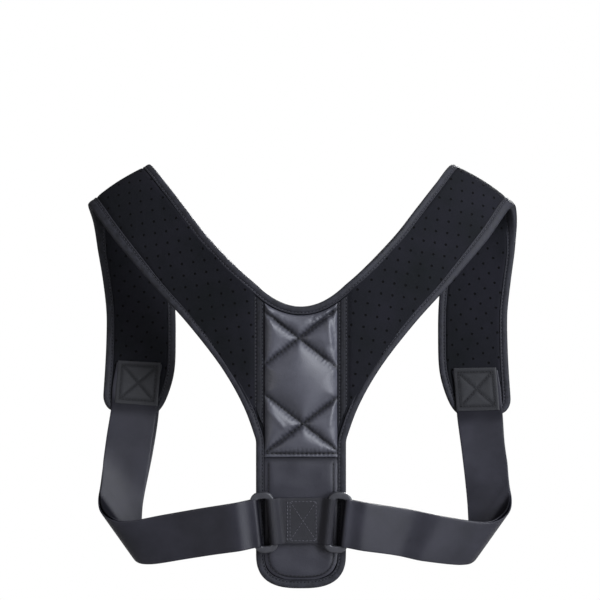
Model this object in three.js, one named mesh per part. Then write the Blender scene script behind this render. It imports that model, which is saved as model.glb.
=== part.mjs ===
// Upper back brace: a quilted spine panel carries two padded shoulder straps, and each strap end is
// tied back to the panel's tail by a webbing that runs through a ring and returns to the chest side.
// Millimetres, +Z up. The wearer faces +Y, so the quilted back faces -Y.
import * as THREE from "three";

// Clearance between neighbouring pieces
const GAP = 0.3;

// Padding, thin where the folded binding grips it
const EDGE_HALF = 2.1;
const PAD_HALF = 3.5;
const PAD_SHOULDER = 1.8;

// Folded edge binding: wall thickness, room in the fold and width of each leg on the faces
const BINDING_WALL = 1.1;
const BINDING_ROOM = 0.7;
const BINDING_LEG = 8.3;
const BINDING_HALF = EDGE_HALF + BINDING_ROOM + BINDING_WALL;
const LIP = BINDING_WALL + BINDING_ROOM;

// Spine panel outline: heights from the lowest point of the tail
const SEAM_X = 44;
const PANEL_HALF_WIDTH = 45;
const NECK_LOW = 281.5;
const NECK_RISE = 21.5;
const TAIL_HEIGHT = 36;
const TAIL_SQUARENESS = 2.2;
const NECK_CORNER_CUT = 1.1;
const NECK_STEPS = 16;
const TAIL_STEPS = 12;
const SIDE_HEIGHTS = [140, 105, 70];

// Leather-look covers on the back of the panel
const COVER_GAP = 0.35;
const QUILT = {
  halfWidth: 36.2,
  bottom: 131,
  base: 1.2,
  puff: 6.5,
  reach: 17,
  crossHeights: [250, 164.5],
  crossRise: 28,
  columns: 16,
  rows: 28,
};
const TAIL_PAD = {
  halfWidth: 36.2,
  bottom: 9.2,
  top: 130.4,
  rim: 0.8,
  puff: 1.9,
  flat: 1.7,
  flatReach: 31,
  reach: 9,
  tipRoom: 0.7,
  rowCrowding: 1.5,
  columns: 12,
  rows: 18,
};
const SEAM_TAPE = {
  inner: 36.7,
  outer: 47,
  thickness: 1,
  footInner: 160,
  footOuter: 185,
  topSlope: 0.8,
};

// Webbing, rings and the holder that carries both rings
const WEB_WIDTH = 47.5;
const WEB_HALF = 0.8;
const WEB_STEPS = 4;
const WRAP_STEPS = 8;
const RING = {
  x: 36.7,
  z: 67,
  tilt: 0.105,
  width: 20.4,
  length: 55.2,
  bar: 2.2,
  corner: 3.6,
  cornerSteps: 4,
  barSides: 10,
};
const HOLDER = { height: 46, layer: 1.5, waist: 12, loopSteps: 10 };
const POST_PLAY = 0.35;
const POST_CLEAR = RING.bar + POST_PLAY;
const HOLDER_FACE = -(EDGE_HALF + GAP + TAIL_PAD.flat + COVER_GAP);
const POST_Y = HOLDER_FACE - POST_CLEAR - HOLDER.layer;
const WRAP_RADIUS = POST_CLEAR + WEB_HALF;
const PATCH = { width: 46, near: 2.5, far: 47, thickness: 1.2, steps: 5 };

// Strap ends: corner radius, and distances above the end at which the padding has a section
const END_RADIUS = 20;
const END_CORNER_STEPS = 6;
const END_SECTIONS = [END_RADIUS, 15, BINDING_LEG + GAP + PAD_SHOULDER, BINDING_LEG + GAP, 6, 3, LIP];

// Origin of the part: middle of the line on which the shoulder loops are carried
const CARRY_Y = 58;
const CARRY_Z = 399.5;

// Sideways lean of each front strap, away from the spine
const SIDES = [
  { name: "left", mirror: -1, drift: -6.3 },
  { name: "right", mirror: 1, drift: 6.3 },
];

// Shoulder strap sections from the seam over the shoulder to the end:
// neck-side edge, arm-side edge, share of the sideways lean taken up there, height of the arch
// between the edges, and steps to the next row
const STRAP_ROWS = [
  { neck: [44, 0, 303], arm: [45, 0, 148], lean: 0, crown: 0, steps: 2 },
  { neck: [59, 0, 316], arm: [57, 0, 181], lean: 0, crown: 0, steps: 2 },
  { neck: [75.5, 3.5, 332], arm: [77, 2, 217], lean: 0, crown: 0.5, steps: 2 },
  { neck: [97.5, 11.5, 356], arm: [112.5, 7.5, 263], lean: 0, crown: 1.5, steps: 2 },
  { neck: [116.5, 21, 380.5], arm: [151.5, 17, 305.5], lean: 0, crown: 2.5, steps: 3 },
  { neck: [136.5, 35, 405.5], arm: [190, 31, 349.5], lean: 0, crown: 3.5, steps: 6 },
  { neck: [155, 59, 424], arm: [219, 58, 382.5], lean: 0, crown: 4, steps: 7 },
  { neck: [157, 87, 408], arm: [222.5, 84, 367], lean: 0.4, crown: 3, steps: 6 },
  { neck: [153.5, 97, 371], arm: [221, 91.5, 342], lean: 0.75, crown: 1.5, steps: 3 },
  { neck: [145, 99, 326.5], arm: [216, 92, 308], lean: 1, crown: 0.5, steps: 2 },
  { neck: [140, 97, 283.5], arm: [212, 89, 273], lean: 1, crown: 0, steps: 2 },
  { neck: [139, 93, 245.5], arm: [211.5, 84, 240.5], lean: 1, crown: 0, steps: 2 },
  { neck: [139.5, 88, 214], arm: [212, 78, 211.5], lean: 1, crown: 0, steps: 2 },
  { neck: [141.5, 84, 192], arm: [213, 74, 190.5], lean: 1, crown: 0, steps: 1 },
  { neck: [143, 80.5, 170], arm: [214, 70.5, 170], lean: 1, crown: 0, steps: 1 },
];
const STRAP_END = STRAP_ROWS.length - 1;

// Rows just beside the seam, between which the padding rises to its full thickness
const SEAM_STOPS = [0.21, 0.35];

// Rows at which strap and binding have sections, down to the start of the rounded end
const STRAP_STOPS = STRAP_ROWS.slice(0, -2).flatMap(
  ({ steps }, row) => Array.from({ length: steps }, (_, step) => row + step / steps),
);
STRAP_STOPS.push(STRAP_END - 1);
STRAP_STOPS.splice(1, 0, ...SEAM_STOPS);

// Strap sections on which the webbing lies before it leaves the end, how many of them its fixed end
// leaves free, and its lift on each side there
const WEB_STRAP_ROWS = [10, 11, 12, 13, 14];
const WEB_SEWN_ROW = 2;
const WEB_ON_STRAP = BINDING_HALF + 2 * GAP + WEB_HALF;

// Free webbing between the strap end and the corner, and between the corner and the ring
const WEB_FRONT_ROWS = [
  { neck: [162.5, 67, 126], arm: [206, 61, 142], lean: 0.75, lift: 2.8 },
  { neck: [168.5, 56, 80], arm: [208, 52.5, 119], lean: 0.7, lift: 1.8 },
];
const WEB_BACK_ROWS = [
  { neck: [118.5, 8, 27.5], arm: [141, 10, 71.5], lean: 0.2, lift: 1.7 },
  { neck: [85, -1, 34.5], arm: [95, 0, 81], lean: 0, lift: 1.9 },
];

// Corner bend of the webbing round a slanting axis: outermost points of both edges
const BEND = {
  neck: [169.5, 31, 24.5],
  arm: [208, 31, 76],
  lean: 0.65,
  radius: 16,
  halfTurn: 1.31,
  neckAdvance: 14,
  armAdvance: 22,
  steps: 4,
  lift: 1.7,
};

const FINISH = {
  padding: { color: 0x1b1d20, roughness: 0.9, metalness: 0 },
  binding: { color: 0x34373b, roughness: 0.85, metalness: 0 },
  leather: { color: 0x3a3b42, roughness: 0.42, metalness: 0 },
  webbing: { color: 0x2b2c32, roughness: 0.75, metalness: 0 },
  plastic: { color: 0x141416, roughness: 0.4, metalness: 0 },
};

const vector = (values) => new THREE.Vector3(...values);
const leaned = (values, side, share) => vector(values).setX(values[0] + side.drift * share);
const valueAt = (values, row) => {
  const here = THREE.MathUtils.clamp(Math.floor(row), 0, values.length - 2);
  return THREE.MathUtils.lerp(values[here], values[here + 1], smooth(row - here, 0, 1));
};
const mirrored = (point) => new THREE.Vector3(-point.x, point.y, point.z);

function smooth(value, from, to) {
  return THREE.MathUtils.smoothstep(value, from, to);
}

// A closed geometry from vertices and triangles, turned to face outwards
function closedGeometry(points, triangles) {
  let volume = 0;
  for (const [a, b, c] of triangles) {
    volume += points[a].dot(points[b].clone().cross(points[c]));
  }
  const index = triangles.flatMap(([a, b, c]) => (volume < 0 ? [a, c, b] : [a, b, c]));
  const geometry = new THREE.BufferGeometry().setFromPoints(points);
  geometry.setIndex(index);
  geometry.computeVertexNormals();
  return geometry;
}

// Skin over a row of closed sections; an open row is capped with the triangulated contour
function loft(sections, contour, isRing = false) {
  const count = sections[0].length;
  const triangles = [];
  const spans = isRing ? sections.length : sections.length - 1;
  for (let i = 0; i < spans; i += 1) {
    const here = i * count;
    const next = ((i + 1) % sections.length) * count;
    for (let j = 0; j < count; j += 1) {
      const k = (j + 1) % count;
      triangles.push([here + j, here + k, next + k], [here + j, next + k, next + j]);
    }
  }
  if (!isRing) {
    const caps = THREE.ShapeUtils.triangulateShape(contour, []);
    const turned = THREE.ShapeUtils.isClockWise(contour);
    const end = (sections.length - 1) * count;
    for (const [a, b, c] of caps) {
      const [first, last] = turned ? [b, c] : [c, b];
      triangles.push([a, first, last], [end + a, end + last, end + first]);
    }
  }
  return closedGeometry(sections.flat(), triangles);
}

// Small share of a rail over which its direction is taken
const RATE_STEP = 0.001;

// A band between two rails, which are smooth curves through the sections of a table;
// between its edges a section may arch outwards
class Band {
  constructor(rows) {
    this.last = rows.length - 1;
    this.neck = new THREE.CatmullRomCurve3(rows.map((row) => row.neck));
    this.arm = new THREE.CatmullRomCurve3(rows.map((row) => row.arm));
    this.crowns = rows.map((row) => row.crown ?? 0);
  }

  // Section at a row: both edges, how fast they advance, the direction across and the width
  frame(row) {
    const share = THREE.MathUtils.clamp(row / this.last, 0, 1);
    const neck = this.neck.getPoint(share);
    const arm = this.arm.getPoint(share);
    const across = arm.clone().sub(neck);
    const width = across.length();
    across.normalize();
    const before = Math.max(share - RATE_STEP, 0);
    const after = Math.min(share + RATE_STEP, 1);
    const neckRate = this.neck.getPoint(after).sub(this.neck.getPoint(before));
    const armRate = this.arm.getPoint(after).sub(this.arm.getPoint(before));
    return { neck, arm, neckRate, armRate, across, width, crown: valueAt(this.crowns, row) };
  }

  // Outward normal at a distance from the neck-side edge, before the arch
  normal(frame, distance) {
    const rate = frame.neckRate.clone().lerp(frame.armRate, distance / frame.width);
    return frame.across.clone().cross(rate).normalize();
  }

  // Point at a distance from the neck-side edge, lifted off the arched middle surface
  point(row, distance, lift) {
    const frame = this.frame(row);
    const normal = this.normal(frame, distance);
    const arch = frame.crown * (1 - (2 * distance / frame.width - 1) ** 2);
    return frame.neck.addScaledVector(frame.across, distance).addScaledVector(normal, arch + lift);
  }

  // Middle of a section with the way along, the direction across and the outward normal
  centre(row) {
    const frame = this.frame(row);
    const normal = this.normal(frame, frame.width / 2);
    const along = normal.clone().cross(frame.across);
    return { ...frame, point: frame.neck.clone().lerp(frame.arm, 0.5), along, normal };
  }

  // Edge point with the direction into the arched band and the outward normal
  edge(row, isArm) {
    const frame = this.frame(row);
    const rate = (isArm ? frame.armRate : frame.neckRate).clone().normalize();
    const point = isArm ? frame.arm : frame.neck;
    const distance = isArm ? frame.width - BINDING_LEG : BINDING_LEG;
    const inward = this.point(row, distance, 0).sub(point);
    inward.addScaledVector(rate, -inward.dot(rate)).normalize();
    const normal = inward.clone().cross(rate).multiplyScalar(isArm ? -1 : 1);
    return { point, inward, normal, across: frame.across };
  }
}

function strapBand(side) {
  return new Band(STRAP_ROWS.map((row) => ({
    neck: leaned(row.neck, side, row.lean),
    arm: leaned(row.arm, side, row.lean),
    crown: row.crown,
  })));
}

// Row of the strap at a short distance above its end
function rowAboveEnd(band, distance) {
  const pitch = band.centre(STRAP_END).point.distanceTo(band.centre(STRAP_END - 1).point);
  return STRAP_END - distance / pitch;
}

// Half thickness of the padding at a clear distance inside the bound edge
function paddingHalf(clear) {
  return THREE.MathUtils.lerp(EDGE_HALF, PAD_HALF, smooth(clear, 0, PAD_SHOULDER));
}

// Distances across a section: cut edge of the padding, foot and top of its shoulder, middle
function sectionStops(width, neckInset, armInset, cut = LIP) {
  const foot = cut - LIP + BINDING_LEG + GAP;
  const stops = [cut, foot, foot + PAD_SHOULDER];
  const near = stops.map((stop) => stop * neckInset);
  const far = stops.map((stop) => width - stop * armInset);
  return [...near, width / 2, ...far.reverse()];
}

function strapSection(band, row, stops, clearOf) {
  const halves = stops.map((stop, i) => paddingHalf(clearOf(band.point(row, stop, 0), i)));
  const outer = stops.map((stop, i) => band.point(row, stop, halves[i]));
  const inner = stops.map((stop, i) => band.point(row, stop, -halves[i]));
  return [...outer, ...inner.reverse()];
}

// Padded strap: regular sections to the start of the rounded end, then narrowing ones
function strapGeometry(band) {
  const foot = BINDING_LEG + GAP;
  const seamFoot = SEAM_TAPE.outer - SEAM_X + GAP;
  const clears = [LIP - foot, 0, PAD_SHOULDER, PAD_SHOULDER, PAD_SHOULDER, 0, LIP - foot];
  const sections = STRAP_STOPS.map((row) => {
    const neckEdge = band.edge(row, false);
    const armEdge = band.edge(row, true);
    const neckInset = 1 / neckEdge.inward.dot(neckEdge.across);
    const armInset = -1 / armEdge.inward.dot(armEdge.across);
    const stops = sectionStops(band.frame(row).width, neckInset, armInset);
    return strapSection(band, row, stops,
      (point, stop) => Math.min(clears[stop], point.x - SEAM_X - seamFoot));
  });
  for (const above of END_SECTIONS) {
    const row = rowAboveEnd(band, above);
    const { width } = band.frame(row);
    const rise = END_RADIUS - above;
    const straight = width / 2 - END_RADIUS;
    const reach = straight + Math.sqrt((END_RADIUS - LIP) ** 2 - rise ** 2);
    const stops = sectionStops(width, 1, 1, width / 2 - reach);
    const inside = stops.map((stop) => {
      const past = Math.max(Math.abs(stop - width / 2) - straight, 0);
      return END_RADIUS - Math.hypot(past, rise);
    });
    sections.push(strapSection(band, row, stops, (point, stop) => inside[stop] - foot));
  }
  const contour = sections[0].map((point) => new THREE.Vector2(point.z, point.y));
  return loft(sections, contour);
}

// Folded binding: a U section set on each edge station, open side towards the padding
const BINDING_SECTION = [
  [BINDING_LEG, -BINDING_HALF],
  [0, -BINDING_HALF],
  [0, BINDING_HALF],
  [BINDING_LEG, BINDING_HALF],
  [BINDING_LEG, BINDING_HALF - BINDING_WALL],
  [BINDING_WALL, BINDING_HALF - BINDING_WALL],
  [BINDING_WALL, BINDING_WALL - BINDING_HALF],
  [BINDING_LEG, BINDING_WALL - BINDING_HALF],
].map(([inward, lift]) => new THREE.Vector2(inward, lift));

function bindingGeometry(stations) {
  const sections = stations.map((station) => BINDING_SECTION.map((corner) => station.point.clone()
    .addScaledVector(station.inward, corner.x).addScaledVector(station.normal, corner.y)));
  return loft(sections, BINDING_SECTION);
}

// Stations from the middle of the strap end round its corner and along one edge to the seam
function strapEdgeStations(band, isArm) {
  const outward = isArm ? 1 : -1;
  const end = band.centre(STRAP_END);
  const straight = end.width / 2 - END_RADIUS;
  const stations = [GAP, straight / 2].map((offset) => ({
    point: end.point.clone().addScaledVector(end.across, outward * offset),
    inward: end.along.clone().negate(),
    normal: end.normal,
  }));
  for (let i = 0; i <= END_CORNER_STEPS; i += 1) {
    const turn = (Math.PI / 2) * (1 - i / END_CORNER_STEPS);
    const row = rowAboveEnd(band, END_RADIUS * (1 - Math.sin(turn)));
    const centre = band.centre(row);
    const reach = centre.width / 2 - END_RADIUS * (1 - Math.cos(turn));
    const distance = centre.width / 2 + outward * reach;
    const inward = centre.across.clone().multiplyScalar(-outward * Math.cos(turn));
    inward.addScaledVector(centre.along, -Math.sin(turn)).normalize();
    stations.push({
      point: band.point(row, distance, 0),
      inward,
      normal: band.normal(centre, distance),
    });
  }
  STRAP_STOPS.toReversed().forEach((row) => stations.push(band.edge(row, isArm)));
  return stations;
}

// Edge station in the plane of the spine panel
function panelStation(x, z, inwardX, inwardZ) {
  return {
    point: new THREE.Vector3(x, 0, z),
    inward: new THREE.Vector3(inwardX, 0, inwardZ).normalize(),
    normal: new THREE.Vector3(0, -1, 0),
  };
}

function neckStation(x) {
  const slope = (2 * NECK_RISE * x) / SEAM_X ** 2;
  return panelStation(x, NECK_LOW + NECK_RISE * (x / SEAM_X) ** 2, slope, -1);
}

// Tail outline as part of a superellipse; turn 0 is the lowest point and a quarter turn the side
function tailStation(turn) {
  const power = 2 / TAIL_SQUARENESS;
  const sideways = Math.sin(turn);
  const down = Math.cos(turn);
  const x = PANEL_HALF_WIDTH * Math.sign(sideways) * Math.abs(sideways) ** power;
  const z = TAIL_HEIGHT * (1 - down ** power);
  const inwardX = -Math.sign(sideways) * Math.abs(sideways) ** (2 - power) / PANEL_HALF_WIDTH;
  const inwardZ = down ** (2 - power) / TAIL_HEIGHT;
  return panelStation(x, z, inwardX, inwardZ);
}

function mirroredStation(station) {
  return {
    point: mirrored(station.point),
    inward: mirrored(station.inward),
    normal: mirrored(station.normal),
  };
}

function neckBindingGeometry(bands) {
  const halves = bands.map((band) => strapEdgeStations(band, false));
  const left = halves[0].map(mirroredStation);
  const middle = [];
  for (let i = 1; i < NECK_STEPS; i += 1) {
    middle.push(neckStation(SEAM_X * ((2 * i) / NECK_STEPS - 1)));
  }
  return bindingGeometry([...left, ...middle, ...halves[1].reverse()]);
}

function bodyBindingGeometry(bands) {
  const halves = bands.map((band) => strapEdgeStations(band, true));
  const left = halves[0].map(mirroredStation);
  const tail = [];
  for (let i = 0; i <= 2 * TAIL_STEPS; i += 1) {
    tail.push(tailStation((Math.PI / 2) * (i / TAIL_STEPS - 1)));
  }
  const sideStation = (z, sign) => panelStation(sign * PANEL_HALF_WIDTH, z, -sign, 0);
  const leftSide = SIDE_HEIGHTS.map((z) => sideStation(z, -1));
  const rightSide = SIDE_HEIGHTS.map((z) => sideStation(z, 1)).reverse();
  return bindingGeometry([...left, ...leftSide, ...tail, ...rightSide, ...halves[1].reverse()]);
}

// Plate cut to an outline in the plane of the panel, between two depths
function plateGeometry(outline, front, back) {
  const shape = new THREE.Shape(outline);
  const geometry = new THREE.ExtrudeGeometry(shape, { depth: back - front, bevelEnabled: false });
  geometry.rotateX(Math.PI / 2);
  geometry.translate(0, back, 0);
  return geometry;
}

function spinePanelGeometry() {
  const stations = [];
  const bodyHalf = PANEL_HALF_WIDTH - LIP;
  for (let i = 0; i <= NECK_STEPS; i += 1) {
    stations.push(neckStation((bodyHalf - NECK_CORNER_CUT) * (1 - (2 * i) / NECK_STEPS)));
  }
  for (let i = 0; i <= 2 * TAIL_STEPS; i += 1) {
    stations.push(tailStation((Math.PI / 2) * (i / TAIL_STEPS - 1)));
  }
  const outline = stations.map(({ point, inward }) => new THREE.Vector2(
    THREE.MathUtils.clamp(point.x + LIP * inward.x, -bodyHalf, bodyHalf),
    point.z + LIP * inward.z,
  ));
  return plateGeometry(outline, -EDGE_HALF, EDGE_HALF);
}

// Cushion on the back of the panel: a flat base and a raised face over a grid of places
function cushionGeometry(columns, rows, placeOf, heightOf) {
  const base = -(EDGE_HALF + GAP);
  const points = [];
  const triangles = [];
  for (let j = 0; j <= rows; j += 1) {
    for (let i = 0; i <= columns; i += 1) {
      const place = placeOf(i / columns, j / rows);
      points.push(new THREE.Vector3(place.x, base - heightOf(place), place.y));
    }
  }
  const at = (i, j) => j * (columns + 1) + i;
  for (let j = 0; j < rows; j += 1) {
    for (let i = 0; i < columns; i += 1) {
      const [a, b, c, d] = [at(i, j), at(i + 1, j), at(i + 1, j + 1), at(i, j + 1)];
      const straight = (i < columns / 2) === (j < rows / 2);
      triangles.push(...(straight ? [[a, b, c], [a, c, d]] : [[a, b, d], [b, c, d]]));
    }
  }
  const rim = [];
  for (let i = 0; i < columns; i += 1) rim.push(at(i, 0));
  for (let j = 0; j < rows; j += 1) rim.push(at(columns, j));
  for (let i = columns; i > 0; i -= 1) rim.push(at(i, rows));
  for (let j = rows; j > 0; j -= 1) rim.push(at(0, j));
  const floor = points.length;
  for (const corner of rim) points.push(points[corner].clone().setY(base));
  for (let i = 0; i < rim.length; i += 1) {
    const next = (i + 1) % rim.length;
    triangles.push([rim[i], floor + i, floor + next], [rim[i], floor + next, rim[next]]);
  }
  const flat = rim.map((corner) => new THREE.Vector2(points[corner].x, points[corner].z));
  for (const [a, b, c] of THREE.ShapeUtils.triangulateShape(flat, [])) {
    triangles.push([floor + a, floor + c, floor + b]);
  }
  return closedGeometry(points, triangles);
}

function distanceToLine(place, from, to) {
  const line = to.clone().sub(from);
  const share = THREE.MathUtils.clamp(place.clone().sub(from).dot(line) / line.lengthSq(), 0, 1);
  return place.distanceTo(from.clone().addScaledVector(line, share));
}

// Upper edge of the quilted cover, just below the neck binding
function quiltTop(x) {
  const { point, inward } = neckStation(x);
  return point.z - (BINDING_LEG + GAP) / -inward.z - GAP;
}

function quiltedPadGeometry() {
  const { halfWidth, bottom, base, puff, reach, crossHeights, crossRise } = QUILT;
  const arms = crossHeights.flatMap((height) => [1, -1].map((sign) => [
    new THREE.Vector2(-halfWidth, height - sign * crossRise),
    new THREE.Vector2(halfWidth, height + sign * crossRise),
  ]));
  const placeOf = (u, v) => {
    const x = halfWidth * (2 * u - 1);
    return new THREE.Vector2(x, THREE.MathUtils.lerp(bottom, quiltTop(x), v));
  };
  const heightOf = (place) => {
    const toRim = Math.min(halfWidth - Math.abs(place.x), place.y - bottom, quiltTop(place.x) - place.y);
    const toSeam = Math.min(toRim, ...arms.map(([from, to]) => distanceToLine(place, from, to)));
    const share = Math.min(toSeam / reach, 1);
    return base + puff * (1 - (1 - share) ** 2);
  };
  return cushionGeometry(QUILT.columns, QUILT.rows, placeOf, heightOf);
}

function tailPadGeometry() {
  const { halfWidth, bottom, top, rim, puff, flat, flatReach, reach } = TAIL_PAD;
  const tipHeight = TAIL_HEIGHT - bottom + TAIL_PAD.tipRoom;
  const halfWidthAt = (z) => {
    const below = Math.max(0, (TAIL_HEIGHT - z) / tipHeight);
    return halfWidth * (1 - below ** TAIL_SQUARENESS) ** (1 / TAIL_SQUARENESS);
  };
  const placeOf = (u, v) => {
    const z = THREE.MathUtils.lerp(bottom, top, v ** TAIL_PAD.rowCrowding);
    return new THREE.Vector2(halfWidthAt(z) * (2 * u - 1), z);
  };
  const heightOf = (place) => {
    const toSide = halfWidthAt(place.y) - Math.abs(place.x);
    const share = smooth(Math.min(toSide, place.y - bottom, top - place.y), 0, reach);
    const pressed = smooth(Math.abs(place.y - RING.z), flatReach, flatReach + reach);
    const height = THREE.MathUtils.lerp(flat, rim + puff * share, pressed);
    return Math.min(height, rim + puff * share);
  };
  return cushionGeometry(TAIL_PAD.columns, TAIL_PAD.rows, placeOf, heightOf);
}

function seamTapeGeometry() {
  const { inner, outer, thickness, footInner, footOuter, topSlope } = SEAM_TAPE;
  const top = (x) => quiltTop(Math.min(x, SEAM_X)) + Math.max(0, x - SEAM_X) * topSlope;
  const outline = [
    new THREE.Vector2(inner, footInner),
    new THREE.Vector2(outer, footOuter),
    new THREE.Vector2(outer, top(outer)),
    new THREE.Vector2(inner, top(inner)),
  ];
  const face = -(EDGE_HALF + GAP);
  return plateGeometry(outline, face - thickness, face);
}

// Rectangular ring in its own plane, posts along Z
function ringGeometry() {
  const { width, length, bar, corner, cornerSteps, barSides } = RING;
  const sections = [];
  for (let quarter = 0; quarter < 4; quarter += 1) {
    const centreX = (width / 2 - corner) * (quarter === 0 || quarter === 3 ? 1 : -1);
    const centreZ = (length / 2 - corner) * (quarter < 2 ? 1 : -1);
    for (let i = 0; i <= cornerSteps; i += 1) {
      const turn = (Math.PI / 2) * (quarter + i / cornerSteps);
      const out = new THREE.Vector3(Math.cos(turn), 0, Math.sin(turn));
      const centre = new THREE.Vector3(centreX, 0, centreZ).addScaledVector(out, corner);
      const section = [];
      for (let j = 0; j < barSides; j += 1) {
        const round = (2 * Math.PI * j) / barSides;
        const point = centre.clone().addScaledVector(out, bar * Math.cos(round));
        section.push(point.setY(bar * Math.sin(round)));
      }
      sections.push(section);
    }
  }
  return loft(sections, [], true);
}

// Ring centre and the places of its two posts, in the plane of the panel
function ringPlace() {
  const centre = new THREE.Vector3(RING.x, POST_Y, RING.z);
  const run = new THREE.Vector3(Math.cos(RING.tilt), 0, -Math.sin(RING.tilt));
  const post = new THREE.Vector3(Math.sin(RING.tilt), 0, Math.cos(RING.tilt));
  const outerPost = centre.clone().addScaledVector(run, RING.width / 2);
  const innerPost = centre.clone().addScaledVector(run, -RING.width / 2);
  return { centre, run, post, outerPost, innerPost };
}

// Holder: two layers sewn flat in the middle, opening into a loop round each inner post;
// the loops lean with the rings
function ringHolderGeometry() {
  const { innerPost } = ringPlace();
  const loop = POST_CLEAR + HOLDER.layer;
  const depthOf = (y) => -y;
  const postDepth = depthOf(POST_Y);
  const sewn = depthOf(HOLDER_FACE) + 2 * HOLDER.layer;
  const shape = new THREE.Shape();
  shape.moveTo(-innerPost.x, postDepth - loop);
  shape.lineTo(innerPost.x, postDepth - loop);
  shape.absarc(innerPost.x, postDepth, loop, -Math.PI / 2, Math.PI / 2, false);
  shape.lineTo(HOLDER.waist, sewn);
  shape.lineTo(-HOLDER.waist, sewn);
  shape.absarc(-innerPost.x, postDepth, loop, Math.PI / 2, (3 * Math.PI) / 2, false);
  for (const sign of [-1, 1]) {
    const hole = new THREE.Path();
    hole.absarc(sign * innerPost.x, postDepth, POST_CLEAR, 0, 2 * Math.PI, true);
    shape.holes.push(hole);
  }
  const geometry = new THREE.ExtrudeGeometry(shape, {
    depth: HOLDER.height,
    bevelEnabled: false,
    curveSegments: HOLDER.loopSteps,
  });
  geometry.translate(0, 0, -HOLDER.height / 2);
  const places = geometry.attributes.position;
  const points = [];
  const triangles = [];
  for (let i = 0; i < places.count; i += 1) {
    const side = THREE.MathUtils.clamp(places.getX(i) / HOLDER.waist, -1, 1);
    const shift = side * Math.tan(RING.tilt) * places.getZ(i);
    points.push(vector([places.getX(i) + shift, -places.getY(i), innerPost.z + places.getZ(i)]));
    if (i % 3 === 0) triangles.push([i, i + 1, i + 2]);
  }
  return closedGeometry(points, triangles);
}

// Middle surface of the webbing from the chest down round the corner to the ring's outer post
function webbingRoute(band, side) {
  const rows = [];
  const lifts = [];
  for (const strapRow of WEB_STRAP_ROWS) {
    const { width } = band.frame(strapRow);
    const reach = WEB_WIDTH / 2;
    rows.push({
      neck: band.point(strapRow, width / 2 - reach, 0),
      arm: band.point(strapRow, width / 2 + reach, 0),
    });
    lifts.push(WEB_ON_STRAP);
  }
  const addFree = (row) => {
    rows.push({ neck: leaned(row.neck, side, row.lean), arm: leaned(row.arm, side, row.lean) });
    lifts.push(row.lift);
  };
  WEB_FRONT_ROWS.forEach(addFree);
  const neck = leaned(BEND.neck, side, BEND.lean);
  const arm = leaned(BEND.arm, side, BEND.lean);
  const axis = neck.clone().sub(arm).normalize();
  const away = new THREE.Vector3(-axis.z, 0, axis.x);
  for (let i = 0; i <= BEND.steps; i += 1) {
    const share = (2 * i) / BEND.steps - 1;
    const turn = BEND.halfTurn * share;
    const bent = (edge, advance) => edge.clone()
      .addScaledVector(away, BEND.radius * (Math.cos(turn) - 1))
      .addScaledVector(axis, advance * share)
      .setY(edge.y - BEND.radius * Math.sin(turn));
    rows.push({ neck: bent(neck, BEND.neckAdvance), arm: bent(arm, BEND.armAdvance) });
    lifts.push(BEND.lift);
  }
  WEB_BACK_ROWS.forEach(addFree);
  const { outerPost, post } = ringPlace();
  rows.push({
    neck: outerPost.clone().addScaledVector(post, -WEB_WIDTH / 2),
    arm: outerPost.clone().addScaledVector(post, WEB_WIDTH / 2),
  });
  lifts.push(WRAP_RADIUS);
  return { band: new Band(rows), lifts };
}

// Outline of a flat strip's section, for its end caps
const STRIP_CONTOUR = [[0, 0], [1, 0], [1, 1], [0, 1]].map((corner) => new THREE.Vector2(...corner));

// Webbing in one piece: inner layer down to the ring, round the post, outer layer back to the chest
function webbingGeometry(route) {
  const { band, lifts } = route;
  const sections = [];
  const addSection = (frame, offset, away) => {
    const corner = (edge, side) => edge.clone().add(offset).addScaledVector(away, side * WEB_HALF);
    sections.push([
      corner(frame.neck, -1), corner(frame.arm, -1), corner(frame.arm, 1), corner(frame.neck, 1),
    ]);
  };
  const addLayer = (row, side) => {
    const centre = band.centre(row);
    const away = centre.normal.clone().multiplyScalar(side);
    addSection(centre, away.clone().multiplyScalar(valueAt(lifts, row)), away);
  };
  for (let i = WEB_SEWN_ROW * WEB_STEPS; i < band.last * WEB_STEPS; i += 1) {
    addLayer(i / WEB_STEPS, -1);
  }
  const post = band.centre(band.last);
  for (let i = 0; i <= WRAP_STEPS; i += 1) {
    const turn = Math.PI * (i / WRAP_STEPS - 0.5);
    const away = post.along.clone().multiplyScalar(Math.cos(turn))
      .addScaledVector(post.normal, Math.sin(turn));
    addSection(post, away.clone().multiplyScalar(WRAP_RADIUS), away);
  }
  for (let i = band.last * WEB_STEPS - 1; i >= 0; i -= 1) {
    addLayer(i / WEB_STEPS, 1);
  }
  return loft(sections, STRIP_CONTOUR);
}

// Patch on the inside of the strap end, over the fixed end of the webbing
function strapPatchGeometry(band) {
  const near = -(WEB_ON_STRAP + WEB_HALF + GAP);
  const far = near - PATCH.thickness;
  const sections = [];
  for (let i = 0; i <= PATCH.steps; i += 1) {
    const row = rowAboveEnd(band, THREE.MathUtils.lerp(PATCH.far, PATCH.near, i / PATCH.steps));
    const { width } = band.frame(row);
    const left = (width - PATCH.width) / 2;
    const right = (width + PATCH.width) / 2;
    sections.push([
      band.point(row, left, near), band.point(row, right, near),
      band.point(row, right, far), band.point(row, left, far),
    ]);
  }
  return loft(sections, STRIP_CONTOUR);
}

function piece(parent, name, geometry, finish) {
  const mesh = new THREE.Mesh(geometry, new THREE.MeshStandardMaterial(FINISH[finish]));
  mesh.name = name;
  parent.add(mesh);
  return mesh;
}

const group = new THREE.Group();
const brace = new THREE.Group();
brace.position.set(0, -CARRY_Y, -CARRY_Z);
group.add(brace);

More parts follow.
